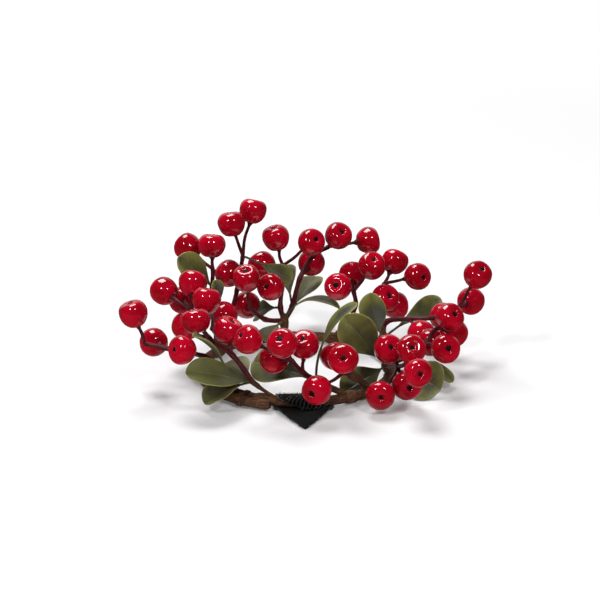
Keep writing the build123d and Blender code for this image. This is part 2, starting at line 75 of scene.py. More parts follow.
@dataclass(frozen=True)
class RingPlan:
    """The run of the ring: half a turn in from the outer end, then round to the inner end."""

    radius: float = 39.5 * MM
    body: float = 2.1 * MM
    height: float = 3.0 * MM
    end_angle: float = -106.0
    overlap: float = 40.0
    end_gap: float = 0.1 * MM
    tape_length: float = 6.0 * MM
    end_tape_angle: float = -124.0
    end_tape_radius: float = 2.7 * MM
    end_tape_length: float = 2.4 * MM

    @property
    def shift(self) -> float:
        """How far the outer half turn's centre lies from the ring's."""
        return (2 * self.body + self.end_gap) / (1 + math.cos(math.radians(self.overlap)))

    @property
    def inner_centre(self) -> Vector:
        """The centre of the main circle."""
        return Vector((0.0, 0.0, self.height))

    @property
    def outer_centre(self) -> Vector:
        """The centre of the outer half turn."""
        return self.inner_centre + compass(self.end_angle) * self.shift

    def on_outer_strand(self, angle: float) -> bool:
        """Whether a binding at an angle goes round the strand from the outer end."""
        return self.overlap < (self.end_angle - angle) % 360 < 180

    def spot(self, angle: float) -> Vector:
        """The middle of the strand at an angle.

        Args:
            angle: degrees from +X.

        Returns:
            The point on the strand, on the inner one where both run.
        """
        direction = compass(angle)
        if not self.on_outer_strand(angle):
            return self.inner_centre + direction * self.radius
        turn = math.radians(self.end_angle - angle)
        reach = self.shift * math.cos(turn)
        side = self.shift * math.sin(turn)
        outer = self.radius + self.shift
        return self.inner_centre + direction * (reach + math.sqrt(outer**2 - side**2))

    def run(self, spacing: float) -> list[Vector]:
        """Points along the whole wire from its outer end to its inner end.

        Args:
            spacing: distance between points, in metres.

        Returns:
            The points in order.
        """
        points: list[Vector] = []
        outer = self.radius + self.shift
        halves = (
            (self.outer_centre, outer, self.end_angle, 180.0),
            (self.inner_centre, self.radius, self.end_angle - 180.0, 180.0 + self.overlap),
        )
        for centre, radius, start, turn in halves:
            count = round(math.radians(turn) * radius / spacing)
            first = 1 if points else 0
            points += [centre + compass(start - turn * i / count) * radius for i in range(first, count + 1)]
        return points


@dataclass(frozen=True)
class Spray:
    """A stem bound to the ring, with its knot at a place; `shift` moves the binding round.

    `lead` is how many degrees of the ring the stem lies along before it rises.
    """

    angle: float
    knot: Place
    shift: float = 0.0
    lead: float = 0.0


@dataclass(frozen=True)
class Berry:
    """A berry at a place, on a stalk from one of its twig's nodes.

    `eye` is where its eye looks when it sits askew on the stalk.
    """

    node: int
    place: Place
    eye: Place | None = None


@dataclass(frozen=True)
class Twig:
    """A twig that leaves a spray's knot, runs through its nodes and bears berries."""

    spray: str
    nodes: tuple[Place, ...]
    berries: tuple[Berry, ...]


@dataclass(frozen=True)
class Leaf:
    """A leaf from a knot (twig None) or a twig's node to its tip, bulging towards `facing`.

    `roll` turns the blade on its midrib, in degrees.
    """

    spray: str
    twig: str | None
    node: int
    tip: Place
    facing: Place
    arch: float
    width: float
    stalk: float
    roll: float = 0.0


class Axis(Enum):
    """The axes of a set of coordinates."""

    X = 0
    Y = 1
    Z = 2


class PathRay(Enum):
    """The kinds of ray for which the surround differs."""

    CAMERA = "Is Camera Ray"
    GLOSSY = "Is Glossy Ray"
    TRANSMISSION = "Is Transmission Ray"


class Side(Enum):
    """The two edges of the strap."""

    LEFT = -1
    RIGHT = 1


RING = RingPlan()

SPRAYS: dict[str, Spray] = {
    "front_left": Spray(-104, (1, -10, 8), -9, 12),
    "left": Spray(150, (0, 0, 6.5)),
    "back": Spray(100, (1, 0, 7)),
    "back_right": Spray(68, (2, -7, 8)),
    "right": Spray(25, (1, 1, 7)),
    "front_right": Spray(-14, (-1, -4, 6)),
    "front_mid": Spray(-40, (0, -14, 11)),
    "front": Spray(-78, (2, -2, 10), 20),
}

TWIGS: dict[str, Twig] = {
    "far_left": Twig(
        "front_left",
        ((4, -20, 13), (3, -30, 18), (3, -45, 20), (2, -56, 21)),
        (Berry(2, (13, -36, 24), (-0.78, -0.57, 0.25)), Berry(3, (-8, -55, 18)), Berry(4, (3, -60, 34))),
    ),
    "left_rise": Twig(
        "front_left",
        ((-4, -20, 17), (-11, -32, 21), (-21, -43, 29)),
        (
            Berry(1, (-8, -23, 26), (0.40, -0.05, 0.91)),
            Berry(2, (-3, -35, 31), (-0.20, 0.23, 0.95)),
            Berry(2, (-25, -46, 20)),
            Berry(3, (-28.5, -44, 38)),
            Berry(3, (-30, -57, 33)),
            Berry(3, (-40, -52, 26)),
        ),
    ),
    "left_tall": Twig(
        "left",
        ((0, -9, 12), (3, -21, 22), (3, -26, 36)),
        (Berry(3, (5, -20, 52), (-0.10, 0.18, 0.98)), Berry(3, (2, -33, 55))),
    ),
    "left_back": Twig(
        "left",
        ((5, -3, 16), (6, -5, 27), (6, -6, 35)),
        (Berry(2, (4, -15, 30.5)), Berry(3, (6, -5, 46), (0.08, 0.21, 0.97)), Berry(3, (20, -8, 42))),
    ),
    "left_low": Twig(
        "left",
        ((-9, 19, 18),),
        (Berry(1, (-14, 31, 35), (0.15, 0.23, 0.96)), Berry(1, (-6, 5, 19))),
    ),
    "back_low": Twig(
        "back",
        ((-1, 9, 9), (-5, 16, 16)),
        (Berry(2, (-10.5, 18.5, 31.5)), Berry(2, (5, 16, 14))),
    ),
    "back_mid": Twig(
        "back",
        ((5, 1, 12), (8, 0, 19), (10, -1, 30)),
        (
            Berry(2, (-7, 7, 26), (-0.42, -0.84, 0.35)),
            Berry(2, (18, 7, 28)),
            Berry(3, (10, 2, 43)),
            Berry(3, (1, -12, 43), (0.50, -0.68, 0.53)),
        ),
    ),
    "back_tall": Twig(
        "back",
        ((3, -4, 13), (6, -8, 25), (10, -14, 33), (12, -22, 37)),
        (Berry(2, (17, -15, 28)), Berry(4, (5, -25, 44)), Berry(4, (12, -40, 39))),
    ),
    "back_right_mid": Twig(
        "back_right",
        ((4, -9, 16), (4, -8, 22)),
        (
            Berry(2, (-7, -5, 27), (-0.28, -0.83, 0.48)),
            Berry(2, (13, -4, 26)),
            Berry(2, (5, -16, 34), (0.15, -0.54, 0.83)),
        ),
    ),
    "back_right_out": Twig(
        "back_right",
        ((10, -14, 13), (14, -19, 24)),
        (
            Berry(1, (3, -23, 21)),
            Berry(1, (17, -23, 13)),
            Berry(2, (21, -21, 32)),
            Berry(2, (17, -33, 28), (0.64, -0.74, 0.20)),
        ),
    ),
    "right_long": Twig(
        "right",
        ((4, 4, 13), (11, -4, 16), (19, -12, 18), (26, -22, 25)),
        (
            Berry(2, (12, -13, 12)),
            Berry(3, (27, -5, 15)),
            Berry(4, (35, -15, 24)),
            Berry(4, (31, -27, 40), (0.40, -0.50, 0.76)),
        ),
    ),
    "right_short": Twig(
        "front_right",
        ((6, 0, 9), (14, 3, 15), (18, 5, 21)),
        (
            Berry(2, (15, 10, 13)),
            Berry(2, (24, -4, 16), (0.22, -0.92, 0.32)),
            Berry(3, (23, 21, 14)),
            Berry(3, (24, 4, 27), (0.45, -0.66, 0.60)),
        ),
    ),
    "front_right": Twig(
        "front_right",
        ((6, -14, 10), (11, -24, 15)),
        (
            Berry(1, (3, -21, 20), (0.30, -0.84, 0.45)),
            Berry(2, (14, -27, 23), (0.06, -0.83, 0.55)),
            Berry(2, (19, -39, 18)),
            Berry(1, (12, -26, 7), (0.25, -0.97, 0.02)),
            Berry(1, (3, -35, 5), (0.00, -0.99, 0.13)),
        ),
    ),
    "front_mid": Twig(
        "front_mid",
        ((1, -21, 14),),
        (
            Berry(1, (-5, -19, 19)),
            Berry(1, (6, -27, 23), (-0.08, -0.89, 0.44)),
            Berry(1, (0, -36, 11), (-0.48, -0.87, -0.08)),
        ),
    ),
    "front": Twig(
        "front",
        ((4, -8, 15), (5, -13, 21)),
        (
            Berry(1, (2, -7, 26), (-0.15, -0.52, 0.84)),
            Berry(2, (12, -18, 31)),
            Berry(2, (-4, -18, 18.5)),
            Berry(2, (2, -30, 30), (-0.70, -0.37, 0.61)),
        ),
    ),
}

LEAVES: dict[str, Leaf] = {
    "front_left_big": Leaf("front_left", None, 0, (19, -33, 17), (0.1, -0.85, 0.55), 2.5, 15, 2, 24),
    "front_left_low": Leaf("front_left", None, 0, (11, -28, 1), (0, -0.3, 1), 1.5, 14, 5),
    "front_left_rise": Leaf("front_left", "far_left", 1, (12, -32, 30), (0.6, 0.3, 0.75), 2, 11, 4),
    "front_left_inner": Leaf("front_left", None, 0, (-16, -26, 8.5), (0.2, -0.5, 0.8), 1, 14, 4),
    "front_low": Leaf("front", None, 0, (-19, -24, 12.5), (0, -0.85, 0.5), 2, 16, 6),
    "front_rise": Leaf("front", None, 0, (2, 15, 42), (-0.75, 0.2, 0.63), 5, 11, 14, 20),
    "right_round": Leaf("front_right", None, 0, (-16, -18, 32), (-0.2, -0.9, 0.4), 3, 16.5, 8),
    "right_inner": Leaf("front_right", None, 0, (-15.5, -24.5, 0), (-0.1, -0.94, 0.33), 2, 15, 4),
    "right_low": Leaf("front_right", None, 0, (24, -12, 1), (0.2, -0.8, 0.5), 2, 18, 8),
    "right_far": Leaf("front_right", "right_short", 1, (27, 0, 0), (0.1, -0.2, 1), 2, 9, 6),
    "right_rise": Leaf("right", None, 0, (-7, -2.5, 30), (-0.3, -0.9, 0.3), 3, 12, 5),
    "right_out": Leaf("right", None, 0, (36, 13, 16), (0.1, -0.7, 0.6), 3, 9, 9),
    "left_top": Leaf("left", "left_back", 2, (13, 11, 44), (0.2, -0.8, 0.5), 2, 12.5, 3),
    "left_upright": Leaf("left", "left_back", 1, (-1, 4, 34), (0.6, -0.7, 0.2), 2, 8, 5),
    "left_arch": Leaf("left", "left_tall", 3, (-17, -35, 25), (0.2, -0.85, 0.5), 2, 9, 9),
    "back_first": Leaf("back", "back_tall", 1, (22, -5, 26), (-0.2, -0.8, 0.5), 2, 9, 6),
    "back_second": Leaf("back", None, 0, (26, -19, 18.5), (-0.3, -0.8, 0.5), 1, 12, 13),
    "back_curl": Leaf("back", None, 0, (-10, -23, 15), (-0.3, 0.1, 0.95), 7, 9, 7),
    "back_small": Leaf("back", "back_mid", 1, (17, 10, 5), (0.2, -0.75, 0.65), 2, 11, 3),
    "back_inner": Leaf("back", None, 0, (-11, 10, 2), (0, -0.2, 1), 2, 11, 6),
}

LEAF_PAIRS: tuple[tuple[str, str], ...] = (
    ("back_first", "back_second"),
    ("right_low", "right_far"),
    ("left_top", "left_upright"),
    ("front_left_big", "front_left_low"),
)


def compass(angle: float) -> Vector:
    """The level direction at an angle from +X, in degrees."""
    return Vector((math.cos(math.radians(angle)), math.sin(math.radians(angle)), 0.0))


def spot(spray: str, place: Place) -> Vector:
    """The world point of a place in a spray.

    Args:
        spray: the spray's name.
        place: (outward, along the ring, up) in steps.

    Returns:
        The point in metres.
    """
    angle = SPRAYS[spray].angle
    out, along, rise = place
    offset = compass(angle) * out + compass(angle + 90) * along + UP * rise
    return RING.spot(angle) + offset * STEP


def twig_node(name: str, index: int) -> Vector:
    """The world point of a twig's node; node 0 is the knot it leaves."""
    twig = TWIGS[name]
    return spot(twig.spray, SPRAYS[twig.spray].knot if index == 0 else twig.nodes[index - 1])


def facing_pose(centre: Vector, eye: Vector) -> Matrix:
    """The matrix that puts the origin at a centre and turns Z to where an eye looks."""
    return Matrix.Translation(centre) @ eye.to_track_quat("Z", "Y").to_matrix().to_4x4()


def berry_pose(name: str, berry: Berry) -> Matrix:
    """The matrix of a berry that sits straight on its stalk.

    Args:
        name: its twig's name.
        berry: its plan.

    Returns:
        The matrix, with the origin in the berry's middle and Z to its eye.
    """
    centre = spot(TWIGS[name].spray, berry.place)
    return facing_pose(centre, (centre - twig_node(name, berry.node)).normalized())


def askew_pose(name: str, berry: Berry) -> Matrix:
    """The matrix of a berry that may sit askew on its stalk."""
    pose = berry_pose(name, berry)
    return pose if berry.eye is None else facing_pose(pose.translation, Vector(berry.eye))


def run_length(run: Sequence[Vector]) -> float:
    """The length of a line of points."""
    return sum((there - here).length for here, there in zip(run, run[1:]))


def cubic(first: float, second: float, third: float, last: float, share: float) -> float:
    """The value of a cubic curve with four control values at a share of its run."""
    rest = 1 - share
    return first * rest**3 + 3 * second * share * rest**2 + 3 * third * share**2 * rest + last * share**3


def smooth_run(points: Sequence[Vector], spacing: float) -> list[Vector]:
    """A smooth line through points.

    Args:
        points: the points to go through, two or more.
        spacing: rough distance between the points returned.

    Returns:
        Points along the smooth line.
    """
    ends = [points[0] * 2 - points[1], *points, points[-1] * 2 - points[-2]]
    line = [points[0].copy()]
    for before, here, there, after in zip(ends, ends[1:], ends[2:], ends[3:]):
        count = max(LEAST_STEPS, round((there - here).length / spacing))
        for i in range(1, count + 1):
            t = i / count
            line.append(
                0.5
                * (
                    here * 2
                    + (there - before) * t
                    + (before * 2 - here * 5 + there * 4 - after) * t * t
                    + (here * 3 - before - there * 3 + after) * t**3
                )
            )
    return line


class Signal:
    """A shader value that takes part in plain expressions."""

    def __init__(self, finish: "Finish", socket: bpy.types.NodeSocket) -> None:
        """Wrap a node's output socket."""
        self.finish = finish
        self.socket = socket

    def _math(self, operation: str, first: object, second: object) -> "Signal":
        """Add a Math node on two values."""
        return self.finish.node("ShaderNodeMath", {"operation": operation}, {0: first, 1: second})

    def __add__(self, other: object) -> "Signal":
        """Sum."""
        return self._math("ADD", self, other)

    __radd__ = __add__

    def __sub__(self, other: object) -> "Signal":
        """Difference."""
        return self._math("SUBTRACT", self, other)

    def __rsub__(self, other: object) -> "Signal":
        """Difference, from a number."""
        return self._math("SUBTRACT", other, self)

    def __mul__(self, other: object) -> "Signal":
        """Product."""
        return self._math("MULTIPLY", self, other)

    __rmul__ = __mul__

    def __pow__(self, other: object) -> "Signal":
        """Power."""
        return self._math("POWER", self, other)

    def __abs__(self) -> "Signal":
        """Size without sign."""
        return self._math("ABSOLUTE", self, 0.0)

    def wave(self) -> "Signal":
        """Sine."""
        return self._math("SINE", self, 0.0)

    def part(self) -> "Signal":
        """What is left after whole numbers are taken away."""
        return self._math("FRACT", self, 0.0)

    def at_most(self, other: object) -> "Signal":
        """The smaller of two."""
        return self._math("MINIMUM", self, other)

    def between(self, low: float, high: float) -> "Signal":
        """0 at low, 1 at high, smooth between and held outside."""
        settings = {"interpolation_type": "SMOOTHSTEP"}
        return self.finish.node("ShaderNodeMapRange", settings, {"Value": self, 1: low, 2: high})


class Finish:
    """A material under construction, with one method for its nodes."""

    def __init__(self, name: str) -> None:
        """Start an empty material with an output and a main shader.

        Args:
            name: the material's name.
        """
        self.material = bpy.data.materials.new(name)
        self.material.use_nodes = True
        self.tree = self.material.node_tree
        self.tree.nodes.clear()
        self.output = self.tree.nodes.new("ShaderNodeOutputMaterial")
        self.shader = self.tree.nodes.new("ShaderNodeBsdfPrincipled")
        self.tree.links.new(self.shader.outputs[0], self.output.inputs[0])

    @classmethod
    def on_tree(cls, tree: bpy.types.NodeTree) -> "Finish":
        """Work on a tree that has no material, such as the world's.

        Args:
            tree: the tree, which is emptied.

        Returns:
            A finish without a main shader.
        """
        finish = cls.__new__(cls)
        finish.tree = tree
        tree.nodes.clear()
        return finish

    def node(
        self, kind: str, settings: dict | None = None, sockets: dict | None = None, out: int | str = 0
    ) -> Signal:
        """Add a node.

        Args:
            kind: the node's type.
            settings: its properties, such as a Math node's operation.
            sockets: values or signals for its inputs, by name or number.
            out: the output that is wanted.

        Returns:
            That output as a signal.
        """
        node = self.tree.nodes.new(kind)
        for key, value in (settings or {}).items():
            setattr(node, key, value)
        for key, value in (sockets or {}).items():
            self.feed(node.inputs[key], value)
        return Signal(self, node.outputs[out])

    def feed(self, socket: bpy.types.NodeSocket, value: object) -> None:
        """Link a signal to a socket, or set its plain value.

        Args:
            socket: the input.
            value: a signal, or what the socket holds.
        """
        if isinstance(value, Signal):
            self.tree.links.new(value.socket, socket)
        else:
            socket.default_value = value

    def coat(self, **sockets: object) -> bpy.types.Material:
        """Set the main shader's sockets.

        Args:
            sockets: their values or signals, named with _ for spaces.

        Returns:
            The finished material.
        """
        for key, value in sockets.items():
            self.feed(self.shader.inputs[key.replace("_", " ")], value)
        return self.material

    def place(self, scale: Place = (1.0, 1.0, 1.0), uv: bool = False) -> Signal:
        """Object or UV coordinates, scaled."""
        coordinates = self.node("ShaderNodeTexCoord", out="UV" if uv else "Object")
        return self.node("ShaderNodeMapping", None, {"Vector": coordinates, "Scale": scale})

    def axis(self, where: Signal, axis: Axis) -> Signal:
        """One axis of some coordinates."""
        return self.node("ShaderNodeSeparateXYZ", None, {0: where}, axis.value)

    def grain(self, cells: float, detail: float, where: Signal | None = None) -> Signal:
        """Noise.

        Args:
            cells: cells per metre, or per unit of the coordinates.
            detail: how many finer layers it has.
            where: coordinates; the object's own if left out.

        Returns:
            The noise, from 0 to 1.
        """
        sockets = {"Vector": where or self.place(), "Scale": cells, "Detail": detail, "Roughness": 0.55}
        return self.node("ShaderNodeTexNoise", None, sockets, "Fac")

    def streaks(self, cells: tuple[float, float], detail: float) -> Signal:
        """Noise drawn out along a tube, in cells per metre of it and per turn round it."""
        return self.grain(1.0, detail, self.place((*cells, 1.0), True))

    def rays(self) -> dict[PathRay, Signal]:
        """Whether a ray is of each kind."""
        return {ray: self.node("ShaderNodeLightPath", out=ray.value) for ray in PathRay}

    def tint(self, factor: object, first: object, second: object) -> Signal:
        """A colour between two."""
        settings = {"data_type": "RGBA", "clamp_factor": True}
        return self.node("ShaderNodeMix", settings, {0: factor, 6: first, 7: second}, 2)

    def relief(self, height: Signal, depth: float) -> Signal:
        """A bump of so many metres."""
        return self.node("ShaderNodeBump", None, {"Height": height, "Distance": depth, "Strength": 1.0})


@dataclass(frozen=True)
class Lacquer:
    """The berries' red lacquer over a slightly uneven core."""

    deep: Colour = (0.290, 0.0005, 0.0070, 1.0)
    bright: Colour = (0.470, 0.0010, 0.0170, 1.0)
    pale: Colour = (0.520, 0.0300, 0.0450, 1.0)
    cloud_cells: float = 95.0
    skin_cells: float = 260.0
    speck_cells: float = 900.0
    skin_depth: float = 0.05 * MM

    def material(self) -> bpy.types.Material:
        """Build the material."""
        finish = Finish("berry_lacquer")
        cloud = finish.grain(self.cloud_cells, 2.0).between(0.32, 0.68)
        speck = finish.grain(self.speck_cells, 1.0).between(0.70, 0.78)
        colour = finish.tint(cloud, self.deep, self.bright)
        return finish.coat(
            Base_Color=finish.tint(speck * 0.10, colour, self.pale),
            Roughness=finish.grain(self.skin_cells, 2.0) * 0.08 + 0.06 + speck * 0.06,
            Normal=finish.relief(finish.grain(self.skin_cells, 1.0), self.skin_depth),
            Specular_IOR_Level=0.33,
            Coat_Weight=0.4,
            Coat_Roughness=0.02,
        )


@dataclass(frozen=True)
class EyePaint:
    """The black dried calyx in a berry's eye."""

    dark: Colour = (0.003, 0.003, 0.004, 1.0)
    rim: Colour = (0.022, 0.008, 0.008, 1.0)
    grain_cells: float = 1500.0
    grain_depth: float = 0.3 * MM

    def material(self) -> bpy.types.Material:
        """Build the material."""
        finish = Finish("berry_eye")
        grain = finish.grain(self.grain_cells, 3.0)
        return finish.coat(
            Base_Color=finish.tint(grain.between(0.45, 0.75), self.dark, self.rim),
            Roughness=grain * 0.3 + 0.3,
            Normal=finish.relief(grain, self.grain_depth),
            Specular_IOR_Level=0.12,
        )


@dataclass(frozen=True)
class TwigPaint:
    """Dark burgundy plastic with fine lengthwise streaks."""

    dark: Colour = (0.038, 0.004, 0.006, 1.0)
    warm: Colour = (0.150, 0.016, 0.024, 1.0)
    green: Colour = (0.080, 0.045, 0.018, 1.0)
    streak_cells: tuple[float, float] = (260.0, 22.0)
    patch_cells: float = 120.0
    streak_depth: float = 0.22 * MM

    def material(self) -> bpy.types.Material:
        """Build the material."""
        finish = Finish("twig_paint")
        streak = finish.streaks(self.streak_cells, 4.0)
        patch = finish.grain(self.patch_cells, 2.0).between(0.62, 0.8)
        colour = finish.tint(streak.between(0.35, 0.7), self.dark, self.warm)
        return finish.coat(
            Base_Color=finish.tint(patch * 0.45, colour, self.green),
            Roughness=streak * 0.25 + 0.25,
            Normal=finish.relief(streak, self.streak_depth),
            Specular_IOR_Level=0.18,
        )


@dataclass(frozen=True)
class PaperTape:
    """Brown crepe tape wound on in turns, with paler worn edges."""

    name: str = "paper_tape"
    dark: Colour = (0.044, 0.019, 0.010, 1.0)
    brown: Colour = (0.150, 0.064, 0.029, 1.0)
    worn: Colour = (0.290, 0.145, 0.072, 1.0)
    turns: float = 210.0
    wobble_cells: float = 160.0
    crepe_cells: tuple[float, float] = (1500.0, 9.0)
    fibre_cells: tuple[float, float] = (240.0, 46.0)
    depth: float = 0.5 * MM

    def material(self) -> bpy.types.Material:
        """Build the material."""
        finish = Finish(self.name)
        uv = finish.node("ShaderNodeTexCoord", out="UV")
        wobble = finish.grain(self.wobble_cells, 2.0) * 0.5
        turn = (finish.axis(uv, Axis.X) * self.turns + finish.axis(uv, Axis.Y) + wobble).part()
        edge = 1.0 - turn.between(0.0, 0.16)
        crepe = finish.streaks(self.crepe_cells, 4.0)
        fibre = finish.streaks(self.fibre_cells, 3.0)
        colour = finish.tint(fibre.between(0.38, 0.64), self.dark, self.brown)
        return finish.coat(
            Base_Color=finish.tint(crepe.between(0.55, 0.85) * 0.35 + edge * 0.25, colour, self.worn),
            Roughness=0.92 - fibre * 0.28,
            Specular_IOR_Level=0.2,
            Normal=finish.relief(turn * 0.5 + crepe * 0.35 + fibre * 0.7, self.depth),
        )


@dataclass(frozen=True)
class LeafPrint:
    """Satin printed leaf: grey green, yellower to the tip, with pale veins and a light rim.

    Leaves are yellower past `painted_light_side` along X and above `painted_light_height`: painted light on
    the lit side and top.
    """

    grey: Colour = (0.047, 0.051, 0.027, 1.0)
    green: Colour = (0.078, 0.081, 0.019, 1.0)
    yellow: Colour = (0.270, 0.262, 0.056, 1.0)
    vein: Colour = (0.175, 0.180, 0.100, 1.0)
    dust: Colour = (0.330, 0.345, 0.280, 1.0)
    painted_light_side: tuple[float, float] = (-10.0 * MM, 20.0 * MM)
    painted_light_height: tuple[float, float] = (18.0 * MM, 38.0 * MM)
    vein_rows: float = 9.0
    vein_slant: float = 0.30
    blotch_cells: float = 70.0
    scuff_cells: float = 150.0
    fine_cells: float = 700.0
    print_depth: float = 0.22 * MM

    def material(self) -> bpy.types.Material:
        """Build the material."""
        finish = Finish("leaf_print")
        uv = finish.node("ShaderNodeTexCoord", out="UV")
        along = finish.axis(uv, Axis.X)
        across = abs(finish.axis(uv, Axis.Y) - 0.5) * 2.0
        blotch = finish.grain(self.blotch_cells, 3.0)
        fine = finish.grain(self.fine_cells, 3.0)
        rib = 1.0 - across.between(0.015, 0.055)
        row = abs(((along - across * self.vein_slant) * self.vein_rows).part() - 0.5) * 2.0
        side_vein = row.between(0.90, 0.99) * (1.0 - across.between(0.7, 0.95))
        rim = across.between(0.90, 0.985) + along.between(0.965, 0.992)
        ripe = (along * 0.7 + across * 0.3 + blotch * 1.2).between(0.95, 1.55)
        # Painted light: leaves towards +X and higher up get more of the yellow, as if lit there.
        here = finish.place()
        to_side = finish.axis(here, Axis.X).between(*self.painted_light_side)
        to_top = finish.axis(here, Axis.Z).between(*self.painted_light_height)
        painted_light = (to_side + to_top).at_most(1.0)
        scuff = finish.grain(self.scuff_cells, 5.0).between(0.60, 0.78) * fine.between(0.4, 0.7)
        colour = finish.tint(blotch.between(0.38, 0.62), self.grey, self.green)
        colour = finish.tint(ripe * (painted_light * 0.65 + 0.22), colour, self.yellow)
        colour = finish.tint((rib * 0.5 + side_vein * 0.16).at_most(1.0), colour, self.vein)
        colour = finish.tint(rim.at_most(1.0) * 0.85, colour, self.yellow)
        return finish.coat(
            Base_Color=finish.tint(scuff * 0.75, colour, self.dust),
            Roughness=blotch * 0.2 + 0.33 + scuff * 0.15,
            Normal=finish.relief(fine * 0.25 - rib * 0.8 - side_vein * 0.35, self.print_depth),
        )


@dataclass(frozen=True)
class StrapWeave:
    """Black hook-and-loop weave with slanting ribs."""

    black: Colour = (0.0012, 0.0012, 0.0014, 1.0)
    thread: Colour = (0.055, 0.057, 0.057, 1.0)
    rib_pitch: float = 1.15 * MM
    pick_pitch: float = 0.55 * MM
    fuzz_cells: float = 2600.0
    depth: float = 0.2 * MM

    def material(self) -> bpy.types.Material:
        """Build the material."""
        finish = Finish("strap_weave")
        here = finish.place()
        across, depth = finish.axis(here, Axis.X), finish.axis(here, Axis.Y)
        slant = math.sqrt(0.5) * math.tau
        rib = ((across - depth) * (slant / self.rib_pitch)).wave() * 0.5 + 0.5
        pick = ((across + depth) * (slant / self.pick_pitch)).wave() * 0.5 + 0.5
        fuzz = finish.grain(self.fuzz_cells, 3.0)
        weave = rib * 0.75 + pick * 0.25
        return finish.coat(
            Base_Color=finish.tint(weave**4.0, self.black, self.thread),
            Roughness=fuzz * 0.2 + 0.75,
            Normal=finish.relief(weave * 0.8 + fuzz * 0.3, self.depth),
            Specular_IOR_Level=0.08,
        )


@dataclass(frozen=True)
class StrapFibre:
    """The strap's frayed fibres, grey where they catch the light."""

    dark: Colour = (0.004, 0.004, 0.005, 1.0)
    pale: Colour = (0.190, 0.200, 0.195, 1.0)
    shade_cells: float = 420.0

    def material(self) -> bpy.types.Material:
        """Build the material."""
        finish = Finish("strap_fibre")
        shade = finish.grain(self.shade_cells, 2.0).between(0.42, 0.66)
        return finish.coat(
            Base_Color=finish.tint(shade, self.dark, self.pale),
            Roughness=shade * 0.2 + 0.5,
            Specular_IOR_Level=0.3,
        )


@dataclass(frozen=True)
class CoreWire:
    """Drawn steel wire with a light stain."""

    dull: Colour = (0.30, 0.29, 0.28, 1.0)
    clean: Colour = (0.42, 0.40, 0.38, 1.0)
    stain_cells: float = 400.0

    def material(self) -> bpy.types.Material:
        """Build the material."""
        finish = Finish("core_wire")
        stain = finish.grain(self.stain_cells, 3.0)
        return finish.coat(
            Base_Color=finish.tint(stain, self.dull, self.clean),
            Metallic=1.0,
            Roughness=stain * 0.2 + 0.35,
        )


class Wardrobe:
    """All the finishes of the object, built once."""

    def __init__(self) -> None:
        """Build every material."""
        self.lacquer = Lacquer().material()
        self.eye = EyePaint().material()
        self.twig = TwigPaint().material()
        self.tape = PaperTape().material()
        # Near-black tape on the ring's cut ends: painted shade that stands in for the dark hollow of the
        # rolled paper.
        self.painted_shade_end = PaperTape(
            name="painted_shade_end",
            dark=(0.006, 0.003, 0.002, 1.0),
            brown=(0.020, 0.010, 0.006, 1.0),
            worn=(0.060, 0.032, 0.018, 1.0),
        ).material()
        self.leaf = LeafPrint().material()
        self.strap = StrapWeave().material()
        self.fibre = StrapFibre().material()
        self.wire = CoreWire().material()


